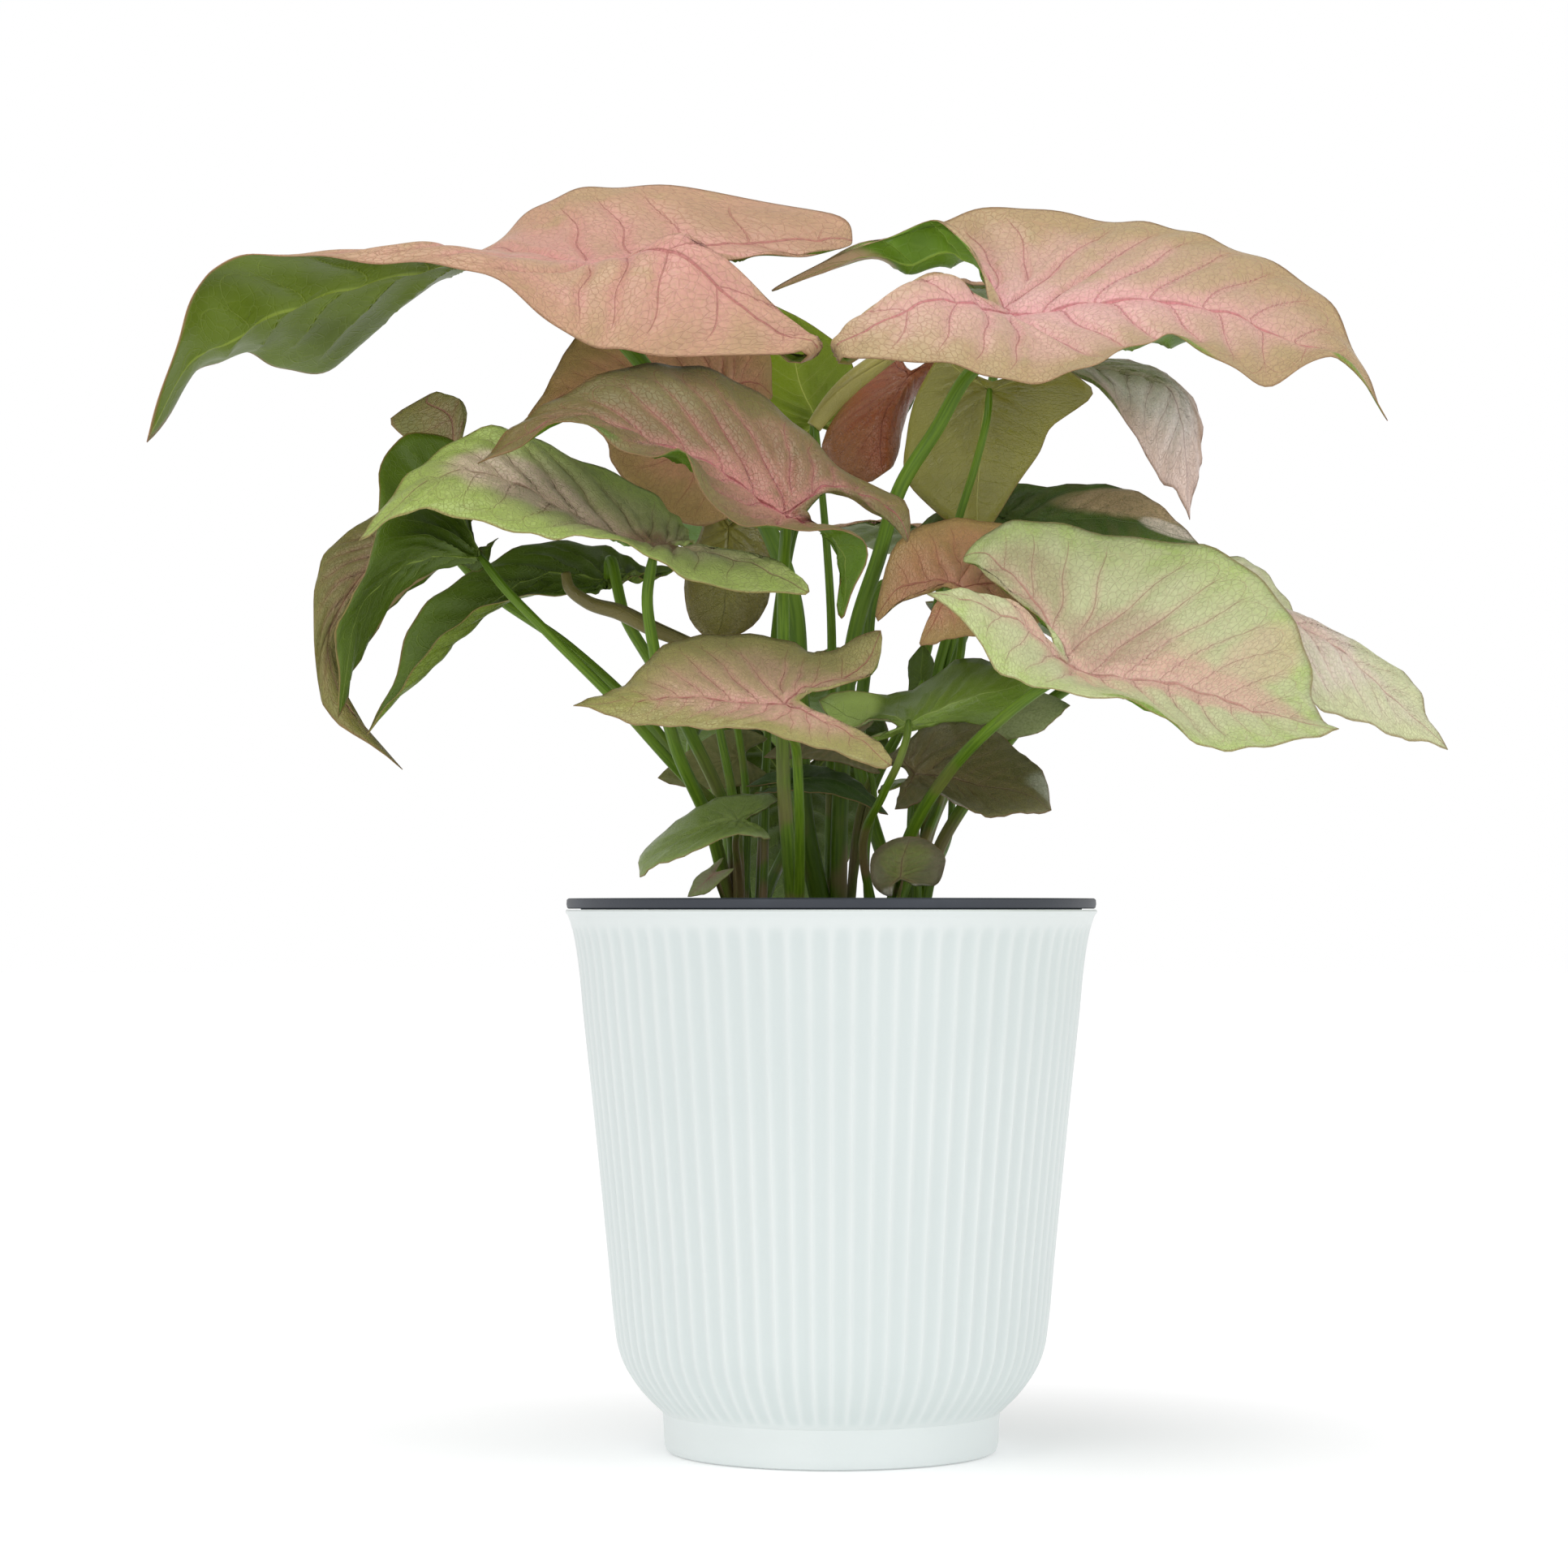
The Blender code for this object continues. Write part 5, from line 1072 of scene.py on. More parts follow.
def leaf_surface(places: dict[str, np.ndarray]) -> Carry:
    """Return the map that bends the flat leaf like a thin plate through its landmarks.

    The map is a plane plus a weighted sum of one plate bending for each landmark.

    Args:
        places: the real place in metres of each landmark by name.

    Returns:
        A function from flat places to real ones.
    """
    flat = np.array([FLAT_PLACES[name] for name in places])
    solid = np.array(list(places.values()))
    count = len(flat)
    apart = np.linalg.norm(flat[:, None] - flat[None], axis=2)
    level = np.hstack((np.ones((count, 1)), flat))
    system = np.block([
        [plate(apart) + SPLINE_EASE * np.eye(count), level],
        [level.T, np.zeros((3, 3))],
    ])
    weights = np.linalg.solve(system, np.vstack((solid, np.zeros((3, 3)))))

    def carry(points: np.ndarray) -> np.ndarray:
        """Return the real places of flat points."""
        reach = np.linalg.norm(points[:, None] - flat[None], axis=2)
        ground = np.hstack((np.ones((len(points), 1)), points))
        return plate(reach) @ weights[:count] + ground @ weights[count:]

    return carry


def upper_normals(carry: Carry, points: np.ndarray) -> np.ndarray:
    """Return the unit normals of a leaf's upper face: along crossed with across, by small steps."""
    along = carry(points + (NORMAL_STEP, 0.0)) - carry(points - (NORMAL_STEP, 0.0))
    across = carry(points + (0.0, NORMAL_STEP)) - carry(points - (0.0, NORMAL_STEP))
    normals = np.cross(along, across)
    return normals / np.maximum(np.linalg.norm(normals, axis=1, keepdims=True), 1e-12)


def seen_leaf_places(entry: dict) -> dict[str, np.ndarray]:
    """Return the real places of a leaf's landmarks by name."""
    return {name: SIGHT.place(*entry[name]) for name in FLAT_PLACES if name in entry}


def far_leaf_places(entry: dict) -> dict[str, np.ndarray]:
    """Return the landmarks of a far side leaf, which arches down along its heading.

    A flat place (u, v) goes u ahead and v aside in parts of the length, and rises by
    lift |v| - u sin(fall) - droop u u - roll v v.

    Args:
        entry: its row of the table.

    Returns:
        The real place in metres of each landmark by name.
    """
    turn, fall, length = math.radians(entry["heading"]), math.radians(entry["fall"]), entry["length"]
    ahead = np.array((math.cos(turn), math.sin(turn)))
    left = np.array((-math.sin(turn), math.cos(turn)))
    places = {}
    for name, (u, v) in FLAT_PLACES.items():
        level = length * (u * math.cos(fall) * ahead + FAR_WIDTH * v * left)
        rise = length * (-u * math.sin(fall) - FAR_DROOP * u * u + FAR_LIFT * abs(v) - FAR_ROLL * v * v)
        x, y, z = entry["knot"]
        places[name] = np.array((x + level[0], y + level[1], z + rise)) * MILLIMETRE
    return places


@dataclass
class Leaf:
    """One leaf: its blade and where its stalk goes."""

    name: str
    entry: dict
    places: dict[str, np.ndarray]
    phase: float
    thickness: float = 0.5
    rim_thickness: float = 0.28
    point_spacing: float = 1.5
    quilting: float = 1.15
    pucker: float = 0.38
    channel: float = 1.3
    rib_depth: float = 0.55
    wave: float = 0.60
    waves: int = 11

    def __post_init__(self) -> None:
        """Work out the surface and the leaf's length in millimetres."""
        self.carry = leaf_surface(self.places)
        self.length = float(np.linalg.norm(self.places["tip"] - self.places["knot"])) / MILLIMETRE
        for curl in CURLS.get(self.name, ()):
            self.carry = curl.roll(self.carry, self.length)
            self.point_spacing = 1.15

    def outline(self) -> np.ndarray:
        """Return the flat margin: a smooth curve from the tip round a lobe to the cleft, and its mirror."""
        count = max(24, int(1.35 * self.length / self.point_spacing))
        half = smooth_way([FLAT_PLACES["tip"], *MARGIN, FLAT_PLACES["cleft"]], count)
        return np.vstack((half, half[-2:0:-1] * (1.0, -1.0)))

    def build(self) -> bpy.types.Object:
        """Make the blade: rings from the middle to the margin on both faces, bent onto the surface.

        Between the veins the sheet swells, along them it sinks in a channel, the ribs are grooved above and
        ridged below, near the margin it waves by a sine of the place round it, and crossing sines of the
        flat place pucker it.

        Returns:
            The blade, with its flat places as an attribute.
        """
        outline = self.outline()
        around = len(outline)
        rings = max(5, int(0.42 * self.length / self.point_spacing))
        share = np.linspace(0.0, 1.0, rings + 1)[1:]
        centre = np.array(LEAF_CENTRE)
        places = (centre + (outline[None] - centre) * share[:, None, None]).reshape(-1, 2)
        places = np.vstack((centre[None], places))
        shares = np.concatenate(([0.0], np.repeat(share, around)))
        turn = np.concatenate(([0.0], np.tile(np.arange(around) * math.tau / around, rings)))
        ribs, sides, glow, swell = VEINS.lines(places[:, 0], places[:, 1], shares, self.phase)
        size = min(1.0, self.length / 90.0) * MILLIMETRE
        calm = smooth(shares, 1.0, 0.8)
        crossing = np.sin(31.0 * places[:, 0] + 2.0 * self.phase) * np.sin(27.0 * places[:, 1] + self.phase)
        relief = size * (self.quilting * swell + self.pucker * crossing - self.channel * glow) * calm
        wave = size * self.wave * shares**6 * np.sin(self.waves * turn + self.phase)
        wave += size * self.wave * shares**8 * np.sin((2 * self.waves + 3) * turn + 2.0 * self.phase)
        normals = upper_normals(self.carry, places)
        middle = self.carry(places) + normals * (relief + wave)[:, None]
        half = MILLIMETRE * (self.rim_thickness + (self.thickness - self.rim_thickness) * calm) / 2.0
        groove = size * self.rib_depth * np.maximum(ribs, 0.5 * sides) * calm
        top = middle + normals * (half - groove)[:, None]
        bottom = middle - normals * (half + groove)[:, None]
        count = len(places)
        fan = np.stack((np.zeros(around), 1 + np.arange(around), 1 + (np.arange(around) + 1) % around), 1).astype(int)
        quads = band(rings, around, 1)[:, ::-1]
        rim = count - around + np.arange(around)
        after = count - around + (np.arange(around) + 1) % around
        edge = np.stack((rim, rim + count, after + count, after), 1)
        halves = np.vstack((fan, quads[:, (0, 1, 2)], quads[:, (0, 2, 3)]))
        numbers = np.repeat((0, 1, 0), (len(halves), len(halves), around))
        finish = self.entry["tint"].value
        materials = (
            finish.upper(f"{self.name}_top", self.phase, UPPER_MARKS.get(self.name, ())),
            finish.lower(f"{self.name}_under", self.phase, LOWER_MARKS.get(self.name, ())),
        )
        flat = np.column_stack((places, shares))
        faces = halves.tolist() + (halves[:, ::-1] + count).tolist() + edge.tolist()
        piece = add_piece(f"fine_{self.name}", np.vstack((top, bottom)), faces, materials, numbers, np.vstack((flat, flat)))
        settle(piece, finish.slot, self.name)
        return piece

    def stalk(self) -> tuple[np.ndarray, np.ndarray]:
        """Return the stalk's way from its crown to the blade, and its radii."""
        knot = self.places["knot"]
        under = -upper_normals(self.carry, np.zeros((1, 2)))[0]
        table = [SIGHT.place(*point) for point in self.entry.get("stalk", [])]
        sink = 0.3 + (self.channel + self.rib_depth) * min(1.0, self.length / 90.0)
        ends = [knot + under * sink * MILLIMETRE]
        bend = knot + under * STALK_BEND * MILLIMETRE
        if not table or np.linalg.norm(table[-1] - bend) > STALK_BEND_SPACING * MILLIMETRE:
            ends.insert(0, bend)
        way = stalk_way(self.entry["crown"], table, ends)
        top = (STALK_LEAST_RADIUS + STALK_WIDTH_PER_LENGTH * self.length) * MILLIMETRE
        share = np.linspace(0.0, 1.0, len(way))
        radii = top * (STALK_FOOT_WIDENING + (1.0 - STALK_FOOT_WIDENING) * share)
        return way, radii * (1.0 - 0.25 * smooth(share, 0.97, 1.0))


def stalk_way(crown: str, table_points: list, end_points: list) -> np.ndarray:
    """Return a stalk's smooth way from inside its crown to the points under its leaf.

    Args:
        crown: the crown that it grows from.
        table_points: real places between the crown and the leaf.
        end_points: the last places, under the blade.

    Returns:
        Points about two millimetres apart.
    """
    x, y = CROWNS[crown]
    first = table_points[0] if len(table_points) else end_points[0]
    lean = np.array((first[0] - x * MILLIMETRE, first[1] - y * MILLIMETRE))
    reach = min(1.0, STALK_LEAN * MILLIMETRE / max(float(np.linalg.norm(lean)), 1e-9))
    root = np.array((x, y, SOIL_LEVEL - STALK_ROOT_DEPTH)) * MILLIMETRE
    collar = root + np.array((lean[0] * reach, lean[1] * reach, STALK_COLLAR_RISE * MILLIMETRE))
    points = [root, collar, *table_points, *end_points]
    length = np.linalg.norm(np.diff(points, axis=0), axis=1).sum()
    return smooth_way(points, 6 + int(length / (2.2 * MILLIMETRE)))


@dataclass(frozen=True)
class StalkFinish:
    """Fresh green stalks, paler in streaks and flushed with brownish pink near the soil."""

    slot: str = "green_stalk"
    fresh: Colour = tone(78, 108, 12)
    light: Colour = tone(100, 130, 26)
    deep: Colour = tone(52, 80, 8)
    flush: Colour = tone(134, 104, 80)

    def make(self) -> bpy.types.Material:
        """Make the stalks' material."""
        paint = Paint("leaf_stalk")
        place = paint.place()
        streak = paint.noise(paint.stretched(paint.attribute("flat"), (6.0, 1.6, 1.6)), 2.0, 3.0)
        cloud = paint.noise(place, 22.0, 2.0)
        _, _, high = paint.parts(place)
        colour = paint.mix(smooth(streak, 0.35, 0.65), self.fresh, self.light)
        colour = paint.mix(smooth(cloud, 0.45, 0.75) * 0.7, colour, self.deep)
        flush = smooth(high, 0.215, 0.150) * smooth(paint.noise(place, 60.0, 1.0), 0.48, 0.62)
        colour = paint.mix(flush * 0.75, colour, self.flush)
        return paint.finish(colour, 0.40 + 0.15 * streak, streak, distance=0.0003, Specular_IOR_Level=0.3)


@dataclass
class LeafyStem:
    """One plantlet: its crown in the soil and the stalks that grow from it."""

    crown: str
    stalks: list[tuple[np.ndarray, np.ndarray]]
    finish: bpy.types.Material
    sides: int = 12
    crown_sides: int = 24

    def build(self) -> bpy.types.Object:
        """Make the crown and its stalks, each one a closed tube that is rooted in the crown.

        Returns:
            The plantlet.
        """
        x, y = CROWNS[self.crown]
        heights = np.linspace(CROWN_FOOT, CROWN_TOP, len(CROWN_TAPER))
        radii = smooth_way(np.column_stack((heights, CROWN_RADIUS * np.array(CROWN_TAPER))), 26) * MILLIMETRE
        way = np.column_stack((np.full(26, x * MILLIMETRE), np.full(26, y * MILLIMETRE), radii[:, 0]))
        points, flat = tube(way, radii[:, 1], self.crown_sides)
        all_points, all_flat = [points], [flat]
        faces = capped(26, self.crown_sides)
        start = len(points)
        for way, radii in self.stalks:
            points, flat = tube(way, radii, self.sides)
            faces += capped(len(way), self.sides, start)
            all_points.append(points)
            all_flat.append(flat)
            start += len(points)
        name = f"{self.crown}_leafy_stem"
        piece = add_piece(f"fine_{name}", np.vstack(all_points), faces, (self.finish,), None, np.vstack(all_flat))
        settle(piece, StalkFinish().slot, name)
        return piece


@dataclass
class RolledLeaf:
    """A young leaf that is still rolled like a scroll."""

    name: str
    entry: dict
    phase: float
    rings: int = 60
    turns: float = 1.55
    steps: int = 40
    thickness: float = 0.35

    def build(self) -> bpy.types.Object:
        """Make the scroll: a spiral whose radius shrinks by a third over its turns, carried along the way.

        Returns:
            The rolled blade.
        """
        way = smooth_way([SIGHT.place(*point) for point in self.entry["way"]], self.rings)
        share = np.linspace(0.0, 1.0, self.rings)
        radius = self.entry["radius"] * MILLIMETRE * (0.45 + 0.55 * np.sin(math.pi * (0.16 + 0.74 * share)))
        side, other = frames_along(way)
        sweep = np.linspace(0.0, 1.0, self.steps)
        turn = sweep * self.turns * math.tau + self.phase + 1.2 * share[:, None]
        shrink = 1.0 - 0.38 * sweep
        circle = np.cos(turn)[..., None] * side[:, None] + np.sin(turn)[..., None] * other[:, None]
        half = self.thickness * MILLIMETRE / 2.0
        spread = radius[:, None] * shrink[None]
        outer = way[:, None] + circle * (spread + half)[..., None]
        inner = way[:, None] + circle * (spread - half)[..., None]
        section = np.concatenate((outer, inner[:, ::-1]), axis=1)
        around = section.shape[1]
        places = np.concatenate((sweep, sweep[::-1])) - 0.5
        flat = np.stack((
            np.broadcast_to(share[:, None], (self.rings, around)),
            np.broadcast_to(0.8 * places[None], (self.rings, around)),
            np.full((self.rings, around), 0.5),
        ), -1)
        finish = self.entry["tint"].value
        faces = capped(self.rings, around)
        numbers = np.concatenate((np.tile(np.arange(around) >= self.steps, self.rings - 1), (0, 0))).astype(int)
        materials = (
            finish.lower(f"{self.name}_outside", self.phase, ()),
            finish.upper(f"{self.name}_inside", self.phase, ()),
        )
        points = section.reshape(-1, 3)
        piece = add_piece(f"fine_{self.name}", points, faces, materials, numbers, flat.reshape(-1, 3))
        settle(piece, finish.slot, self.name)
        return piece

    def stalk(self) -> tuple[np.ndarray, np.ndarray]:
        """Return the stalk's way from its crown into the roll, and its radii."""
        start = SIGHT.place(*self.entry["way"][0])
        after = SIGHT.place(*self.entry["way"][1])
        end = start + (after - start) * 0.15
        way = stalk_way(self.entry["crown"], [SIGHT.place(*point) for point in self.entry["stalk"]], [end])
        return way, np.linspace(*YOUNG_STALK_RADII, len(way)) * MILLIMETRE


@dataclass(frozen=True)
class GlazeFinish:
    """A cool white satin glaze with painted shade in its grooves and a few dark specks."""

    slot: str = "white_glaze"
    light: Colour = tone(219, 225, 224)
    shade: Colour = tone(205, 214, 213)
    speck: Colour = tone(96, 104, 108)

    def make(self) -> bpy.types.Material:
        """Make the pot's material."""
        paint = Paint("white_satin_glaze")
        place = paint.place()
        depth, _, _ = paint.parts(paint.attribute("flat"))
        cloud = paint.noise(place, 18.0, 3.0)
        grain = paint.noise(place, 900.0, 2.0)
        # Painted shade: the grooves are drawn in the shade colour, most where they are deepest
        colour = paint.mix(smooth(depth, 0.0, 1.0) * 0.85, self.light, self.shade)
        colour = paint.mix(smooth(cloud, 0.4, 0.7) * 0.25, colour, self.shade)
        dots = smooth(paint.specks(place, 60.0), 0.045, 0.02) * smooth(paint.noise(place, 31.0, 0.0), 0.60, 0.66)
        colour = paint.mix(dots, colour, self.speck)
        return paint.finish(colour, 0.36 + 0.1 * cloud, grain, distance=0.00005)


@dataclass
class FlutedPot:
    """The white cover pot."""

    ribs: int = 76
    samples: int = 8
    groove: float = 0.55
    wall_rows: int = 70

    def outline(self) -> tuple[np.ndarray, np.ndarray]:
        """Return the wall's radius and height from the underside's edge, up the wall and down inside."""
        foot = smooth_way([(44.5, 0.0), (46.2, 0.5), (46.7, 1.8), (47.1, 7.0), (47.4, 11.2)], 14)
        wall = smooth_way([(radius, height) for height, radius in POT_WALL], self.wall_rows)
        lip = smooth_way([(74.2, 150.2), (74.9, 151.4), (74.6, 151.8), (73.5, 151.8), (71.8, 151.7)], 8)
        inside = smooth_way([(71.4, 151.2), (68.9, 146.0), (61.2, 76.0), (55.8, 32.0), (48.0, 20.0), (38.0, 12.0)], 24)
        rows = np.vstack((foot, wall, lip, inside))
        grooved = np.zeros(len(rows))
        height = wall[:, 1]
        grooved[len(foot):len(foot) + len(wall)] = smooth(height, 149.0, 144.5) * smooth(height, 12.0, 13.6)
        return rows, grooved

    def build(self) -> bpy.types.Object:
        """Make the pot: a turned wall, cut back between the ribs by the groove's depth times 1 - (2 f - 1)^2.

        Here f goes from 0 to 1 between one rib and the next.

        Returns:
            The pot.
        """
        rows, grooved = self.outline()
        around = self.ribs * self.samples
        turn = np.arange(around) * math.tau / around
        f = (np.arange(around) % self.samples) / self.samples
        hollow = 1.0 - (2.0 * f - 1.0) ** 2
        cut = grooved[:, None] * hollow[None]
        radius = (rows[:, 0][:, None] - self.groove * cut) * MILLIMETRE
        height = np.broadcast_to(rows[:, 1][:, None] * MILLIMETRE, radius.shape)
        points = np.stack((radius * np.cos(turn), radius * np.sin(turn), height), -1).reshape(-1, 3)
        # The grooves' depth, which the glaze turns into painted shade
        flat = np.repeat(cut.reshape(-1, 1), 3, axis=1)
        bottom, floor = len(points), len(points) + 1
        points = np.vstack((points, ((0.0, 0.0, 0.0), (0.0, 0.0, rows[-1, 1] * MILLIMETRE))))
        flat = np.vstack((flat, np.zeros((2, 3))))
        first = np.arange(around)
        last = first + (len(rows) - 1) * around
        faces = band(len(rows), around).tolist()
        faces += np.stack((np.roll(first, -1), first, np.full(around, bottom)), 1).tolist()
        faces += np.stack((last, np.roll(last, -1), np.full(around, floor)), 1).tolist()
        finish = GlazeFinish()
        piece = add_piece("fluted_pot", points, faces, (finish.make(),), None, flat)
        piece.data.set_sharp_from_angle(angle=math.radians(38.0))
        settle(piece, finish.slot, "outer_pot")
        return piece


@dataclass(frozen=True)
class LinerFinish:
    """Charcoal moulded plastic with a fine matt grain and faint scuffs."""

    slot: str = "charcoal_plastic"
    body: Colour = tone(46, 51, 60)
    scuff: Colour = tone(86, 92, 102)

    def make(self) -> bpy.types.Material:
        """Make the liner's material."""
        paint = Paint("charcoal_plastic")
        place = paint.place()
        grain = paint.noise(place, 1400.0, 2.0)
        cloud = paint.noise(place, 40.0, 4.0)
        colour = paint.mix(smooth(cloud, 0.5, 0.8) * 0.35, self.body, self.scuff)
        return paint.finish(colour, 0.42 + 0.2 * cloud, grain, distance=0.00008)


@dataclass
class GrowerPot:
    """The charcoal liner, whose rim rests on the pot's lip."""

    around: int = 180

    def build(self) -> bpy.types.Object:
        """Make the liner, turned from its outline with rounded rim edges.

        Returns:
            The liner.
        """
        outer = [(44.0, 26.0), (46.0, 26.2), (50.0, 30.0), (57.4, 76.0), (66.6, 146.5), (70.2, 150.9)]
        rim = [(70.6, 152.1), (74.0, 152.1), (74.4, 152.4), (74.6, 153.4), (74.5, 154.6), (74.0, 155.0)]
        inner = [(69.7, 155.0), (69.3, 154.6), (69.0, 150.4), (65.2, 146.0), (56.0, 76.0), (48.6, 31.5), (44.0, 28.0)]
        rows = np.array(outer + rim + inner) * MILLIMETRE
        turn = np.arange(self.around) * math.tau / self.around
        radius = np.broadcast_to(rows[:, :1], (len(rows), self.around))
        height = np.broadcast_to(rows[:, 1:], radius.shape)
        points = np.stack((radius * np.cos(turn), radius * np.sin(turn), height), -1).reshape(-1, 3)
        finish = LinerFinish()
        piece = add_piece("grower_pot", points, capped(len(rows), self.around), (finish.make(),))
        piece.data.set_sharp_from_angle(angle=math.radians(35.0))
        settle(piece, finish.slot, "inner_pot")
        return piece


@dataclass(frozen=True)
class SoilFinish:
    """Dark peat with browner bark crumbs and pale perlite."""

    slot: str = "potting_mix"
    peat: Colour = tone(50, 38, 29)
    bark: Colour = tone(98, 70, 48)
    perlite: Colour = tone(206, 202, 192)

    def make(self, name: str, low: Colour, high: Colour) -> bpy.types.Material:
        """Make one of the soil's materials, mottled between two colours."""
        paint = Paint(name)
        place = paint.place()
        clod = paint.noise(place, 160.0, 5.0)
        grain = paint.noise(place, 1200.0, 3.0)
        colour = paint.mix(smooth(clod, 0.35, 0.7), low, high)
        return paint.finish(colour, 0.88 + 0.1 * (grain - 0.5), clod + 0.4 * grain, distance=0.0012)

    def materials(self) -> tuple[bpy.types.Material, bpy.types.Material, bpy.types.Material]:
        """Make the three materials of the soil."""
        return (
            self.make("damp_peat", tone(28, 21, 17), self.peat),
            self.make("bark_crumb", self.peat, self.bark),
            self.make("perlite_grain", tone(176, 170, 158), self.perlite),
        )


@dataclass
class PottingSoil:
    """The soil in the liner, with loose crumbs on top."""

    around: int = 160
    rows: int = 44
    unevenness: float = 1.6
    crumbs: int = 620
    perlite: int = 90

    def build(self) -> bpy.types.Object:
        """Make the soil: a filled round body whose top rises and falls by a sum of sine waves, with crumbs.

        Returns:
            The soil.
        """
        turn = np.arange(self.around) * math.tau / self.around
        body = np.array([(43.5, 28.3), (48.0, 32.4), (55.5, 76.0), (64.0, SOIL_LEVEL - 2.0)])
        top = np.linspace(63.2, 1.5, self.rows)
        radius = np.concatenate((body[:, 0], top))[:, None] * np.ones(self.around)
        height = np.concatenate((body[:, 1], np.full(self.rows, SOIL_LEVEL)))[:, None] * np.ones(self.around)
        x, y = radius * np.cos(turn), radius * np.sin(turn)
        height[len(body):] += self.bumps(x, y)[len(body):] * smooth(radius, 64.0, 60.0)[len(body):]
        points = np.stack((x, y, height), -1).reshape(-1, 3) * MILLIMETRE
        faces = capped(len(body) + self.rows, self.around)
        crumb_points, crumb_faces = self.loose_crumbs(len(points))
        per_crumb = len(crumb_faces) // (self.crumbs + self.perlite)
        numbers = [0] * len(faces) + [1] * (per_crumb * self.crumbs) + [2] * (per_crumb * self.perlite)
        finish = SoilFinish()
        points = np.vstack((points, crumb_points))
        piece = add_piece("potting_mix", points, faces + crumb_faces, finish.materials(), numbers)
        settle(piece, finish.slot, "potting_soil")
        return piece

    def bumps(self, x: np.ndarray, y: np.ndarray) -> np.ndarray:
        """Return the soil's rise in millimetres: crossing sine waves of three lengths."""
        slow = np.sin(0.11 * x + 1.0) * np.sin(0.13 * y + 0.4)
        middle = np.sin(0.37 * x + 0.21 * y) * np.sin(0.33 * y - 0.17 * x + 2.0)
        fine = np.sin(0.93 * x + 0.5 * y) * np.sin(1.07 * y - 0.6 * x + 1.0)
        return self.unevenness * (0.6 * slow + 0.3 * middle + 0.2 * fine)

    def loose_crumbs(self, start: int) -> tuple[np.ndarray, list]:
        """Return lumpy little crumbs on the soil, by one seeded draw.

        Each is an icosahedron with its corners moved in or out, stretched, turned and set into the soil.

        Args:
            start: the number of the first crumb vertex.

        Returns:
            Their vertices and faces.
        """
        draw = np.random.default_rng(7)
        count = self.crumbs + self.perlite
        golden = (1.0 + math.sqrt(5.0)) / 2.0
        corners = np.array([
            (-1, golden, 0), (1, golden, 0), (-1, -golden, 0), (1, -golden, 0), (0, -1, golden), (0, 1, golden),
            (0, -1, -golden), (0, 1, -golden), (golden, 0, -1), (golden, 0, 1), (-golden, 0, -1), (-golden, 0, 1),
        ]) / math.hypot(1.0, golden)
        sides = np.array([
            (0, 11, 5), (0, 5, 1), (0, 1, 7), (0, 7, 10), (0, 10, 11), (1, 5, 9), (5, 11, 4), (11, 10, 2),
            (10, 7, 6), (7, 1, 8), (3, 9, 4), (3, 4, 2), (3, 2, 6), (3, 6, 8), (3, 8, 9), (4, 9, 5), (2, 4, 11),
            (6, 2, 10), (8, 6, 7), (9, 8, 1),
        ])
        lumps = corners[None] * draw.uniform(0.7, 1.25, (count, 12, 1))
        lumps *= draw.uniform(0.55, 1.3, (count, 1, 3)) * draw.uniform(0.5, 1.5, (count, 1, 1))
        spin = draw.uniform(0.0, math.tau, count)[:, None]
        x = lumps[..., 0] * np.cos(spin) - lumps[..., 1] * np.sin(spin)
        y = lumps[..., 0] * np.sin(spin) + lumps[..., 1] * np.cos(spin)
        reach = 61.0 * np.sqrt(draw.uniform(0.0, 1.0, count))
        way = draw.uniform(0.0, math.tau, count)
        at_x, at_y = reach * np.cos(way), reach * np.sin(way)
        level = SOIL_LEVEL + self.bumps(at_x, at_y) + 0.2
        points = np.stack((x + at_x[:, None], y + at_y[:, None], lumps[..., 2] + level[:, None]), -1)
        faces = sides[None] + 12 * np.arange(count)[:, None, None] + start
        return points.reshape(-1, 3) * MILLIMETRE, faces.reshape(-1, 3).tolist()


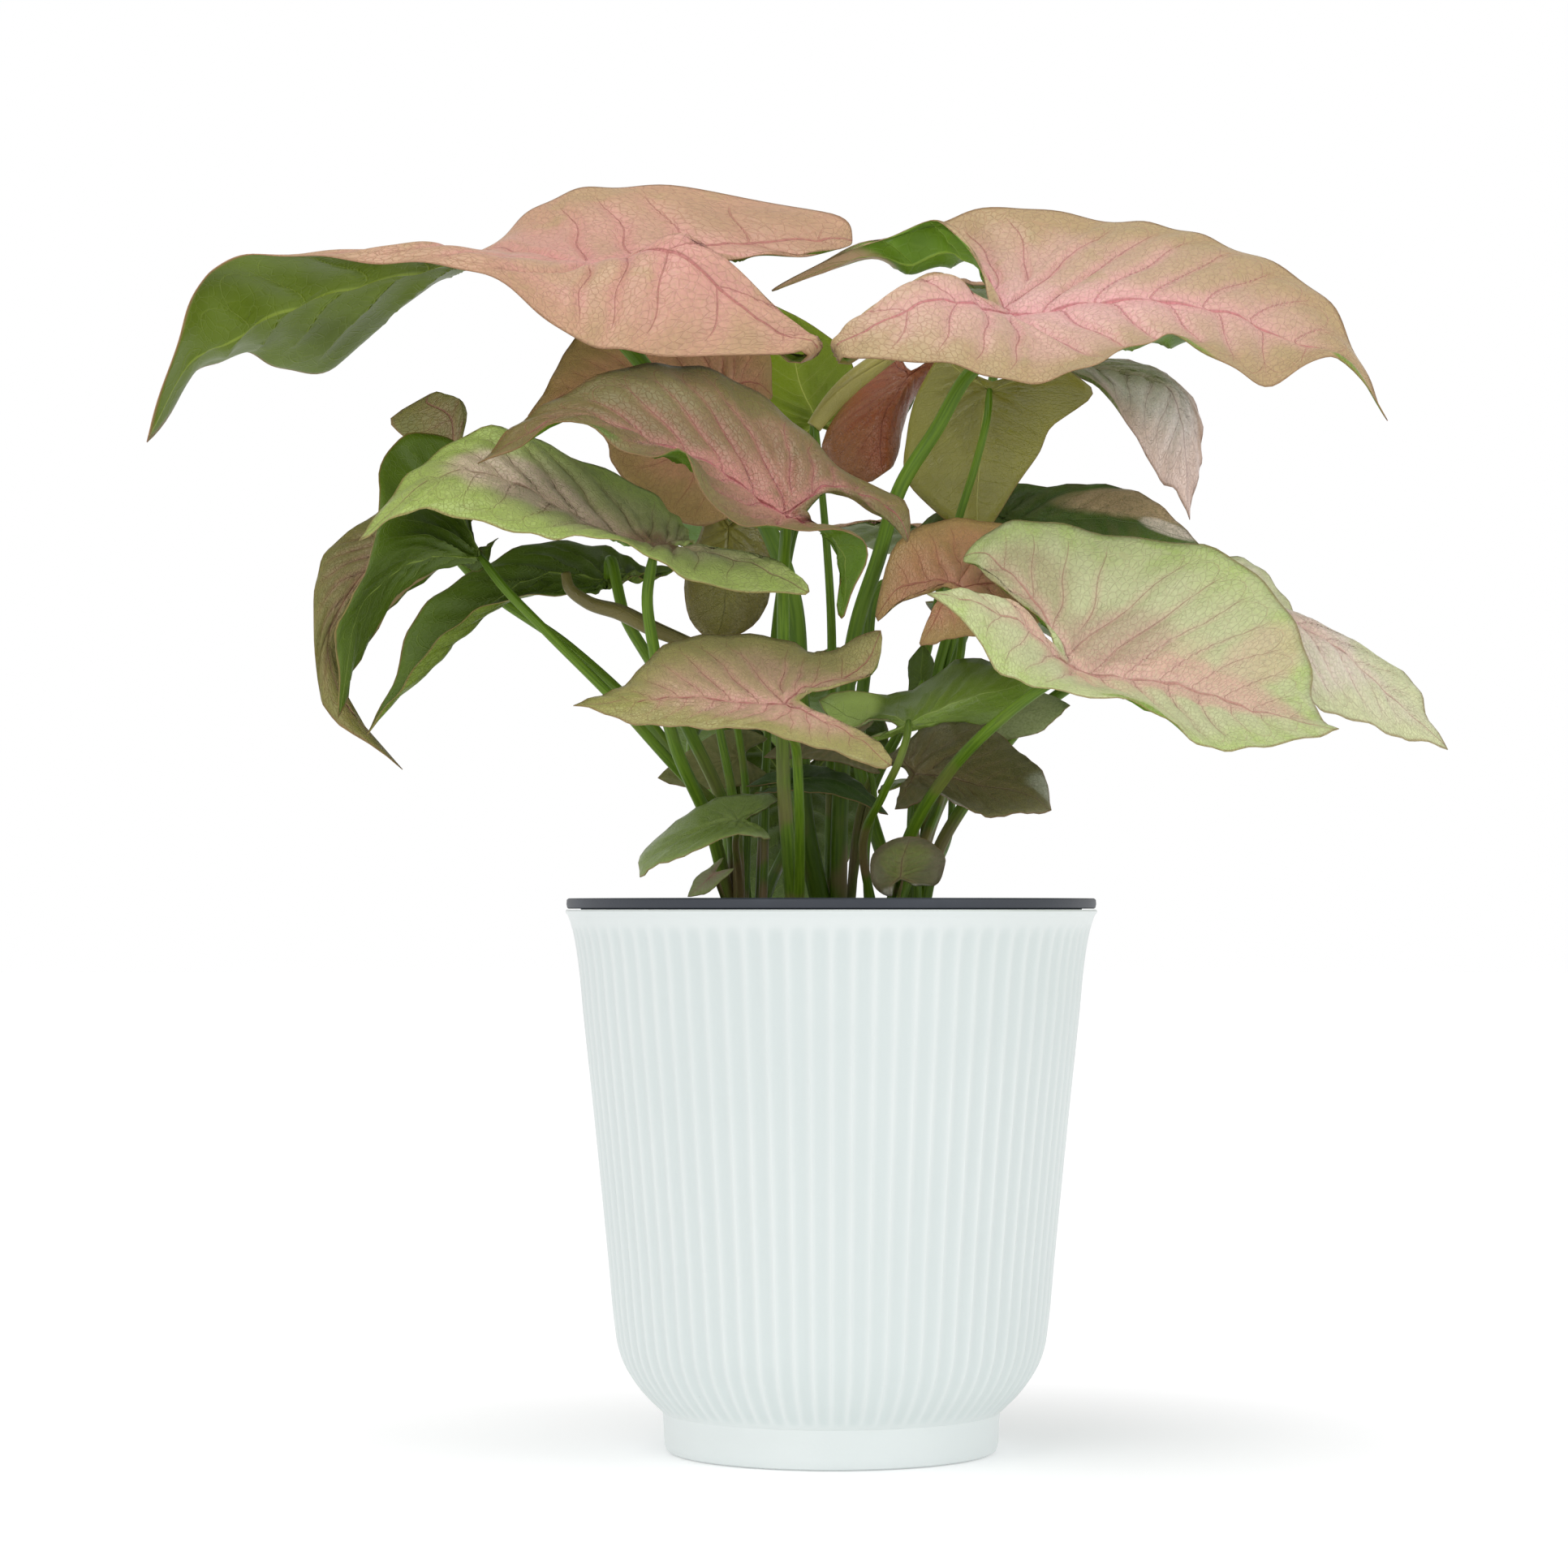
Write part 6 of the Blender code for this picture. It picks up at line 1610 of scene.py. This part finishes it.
@dataclass(frozen=True)
class Studio:
    """The pale stage, the soft lights and the camera."""

    camera_place: tuple[float, float, float] = (0.0, -1.2, 0.152)
    camera_aim: tuple[float, float, float] = (-0.0133, 0.0, 0.1873)
    lens: float = 97.6
    floor_radius: float = 9.0
    fade_start: float = 0.052
    fade_end: float = 0.24
    zenith: float = 0.38

    def stage(self) -> bpy.types.Object:
        """Make a round pale floor that glows white away from the pot, as a lit studio floor does, and glows faintly
        near it, which lightens the shadows there.

        Returns:
            The floor.
        """
        turn = np.arange(96) * math.tau / 96
        radius = np.geomspace(0.02, self.floor_radius, 24)
        circle = np.stack((np.cos(turn), np.sin(turn), np.zeros(96)), -1)
        points = (radius[:, None, None] * circle).reshape(-1, 3)
        paint = Paint("pale_floor")
        x, y, _ = paint.parts(paint.place())
        reach = paint.math("SQRT", x * x + y * y)
        far = smooth(reach, self.fade_start, self.fade_end)
        grain = paint.noise(paint.place(), 3.0, 2.0)
        near_colour = paint.mix(grain, tone(238, 239, 240), tone(244, 244, 244))
        colour = paint.mix(far, near_colour, (0.02, 0.02, 0.02))
        # Painted light: a faint glow near the pot lightens the floor's shadows; further out the floor glows fully white
        glow = paint.mix(far, (0.2, 0.2, 0.2), (1.0, 1.0, 1.0))
        material = paint.finish(colour, 0.9, grain, distance=0.0001, Emission_Color=glow, Emission_Strength=1.0)
        faces = [list(reversed(face)) for face in band(len(radius), 96).tolist()]
        faces.append(list(range(96)))
        floor = add_piece("pale_floor", points, faces, (material,))
        return floor

    def light(self, name: str, place: Sequence[float], size: float, power: float, colour: Colour) -> None:
        """Hang a square soft light that looks at the plant's middle."""
        data = bpy.data.lights.new(name, "AREA")
        data.shape = "SQUARE"
        data.size = size
        data.energy = power
        data.color = colour
        lamp = bpy.data.objects.new(name, data)
        lamp.location = place
        aim = Vector((0.0, 0.0, 0.2)) - Vector(place)
        lamp.rotation_euler = aim.to_track_quat("-Z", "Y").to_euler()
        bpy.context.scene.collection.objects.link(lamp)

    def surroundings(self) -> bpy.types.World:
        """Make a white surround that is dimmer overhead.

        Returns:
            The world.
        """
        world = bpy.data.worlds.new("soft_surroundings")
        world.use_nodes = True
        tree = world.node_tree
        direction = tree.nodes.new("ShaderNodeTexCoord")
        split = tree.nodes.new("ShaderNodeSeparateXYZ")
        ramp = tree.nodes.new("ShaderNodeMapRange")
        ramp.inputs["From Min"].default_value = 0.25
        ramp.inputs["From Max"].default_value = 0.75
        ramp.inputs["To Min"].default_value = 1.0
        ramp.inputs["To Max"].default_value = self.zenith
        tree.links.new(direction.outputs["Generated"], split.inputs["Vector"])
        tree.links.new(split.outputs["Z"], ramp.inputs["Value"])
        tree.links.new(ramp.outputs["Result"], tree.nodes["Background"].inputs["Strength"])
        tree.nodes["Background"].inputs["Color"].default_value = (1.0, 1.0, 1.0, 1.0)
        return world

    def build(self) -> None:
        """Set up the stage, the lights, the pale surroundings and the camera."""
        self.stage()
        self.light("overhead_softbox", (-0.30, -0.45, 1.9), 1.4, 15.0, (1.0, 0.99, 0.97))
        self.light("front_softbox", (-0.9, -1.7, 1.0), 1.3, 8.0, (1.0, 1.0, 1.0))
        self.light("right_fill", (1.6, -1.0, 0.9), 1.0, 7.0, (0.98, 0.99, 1.0))
        scene = bpy.context.scene
        world = self.surroundings()
        scene.world = world
        scene.view_settings.view_transform = "Standard"
        data = bpy.data.cameras.new("front_camera")
        data.lens = self.lens
        data.sensor_width = 36.0
        data.clip_start = 0.01
        camera = bpy.data.objects.new("front_camera", data)
        camera.location = self.camera_place
        aim = Vector(self.camera_aim) - Vector(self.camera_place)
        camera.rotation_euler = aim.to_track_quat("-Z", "Y").to_euler()
        scene.collection.objects.link(camera)
        scene.camera = camera


@dataclass
class Plant:
    """All leaves, stalks and rolled leaves of the plant."""

    phase_step: float = 1.7

    def leaves(self) -> list[Leaf]:
        """Return every leaf of the two tables."""
        rows = [(name, entry, seen_leaf_places(entry)) for name, entry in LEAVES.items()]
        rows += [(name, entry, far_leaf_places(entry)) for name, entry in FAR_LEAVES.items()]
        return [Leaf(*row, self.phase_step * number) for number, row in enumerate(rows)]

    def build(self) -> None:
        """Make every blade, then each plantlet's stem with the stalks that it carries."""
        stalks = {crown: [] for crown in CROWNS}
        for leaf in self.leaves():
            piece = leaf.build()
            stalks[leaf.entry["crown"]].append(leaf.stalk())
            LOG.info("%s: %d faces", piece.name, len(piece.data.polygons))
        for number, (name, entry) in enumerate(ROLLED_LEAVES.items()):
            roll = RolledLeaf(name, entry, 1.1 + 2.0 * number)
            LOG.info("%s: %d faces", roll.build().name, roll.rings)
            stalks[entry["crown"]].append(roll.stalk())
        finish = StalkFinish().make()
        for crown, parts in stalks.items():
            piece = LeafyStem(crown, parts, finish).build()
            LOG.info("%s: %d faces", piece.name, len(piece.data.polygons))


def main() -> None:
    """Build the stage, the pot, the liner, the soil and the plant."""
    logging.basicConfig(level=logging.INFO, format="%(message)s")
    Studio().build()
    for maker in (FlutedPot(), GrowerPot(), PottingSoil()):
        piece = maker.build()
        LOG.info("%s: %d faces", piece.name, len(piece.data.polygons))
    Plant().build()


if __name__ == "__main__":
    main()
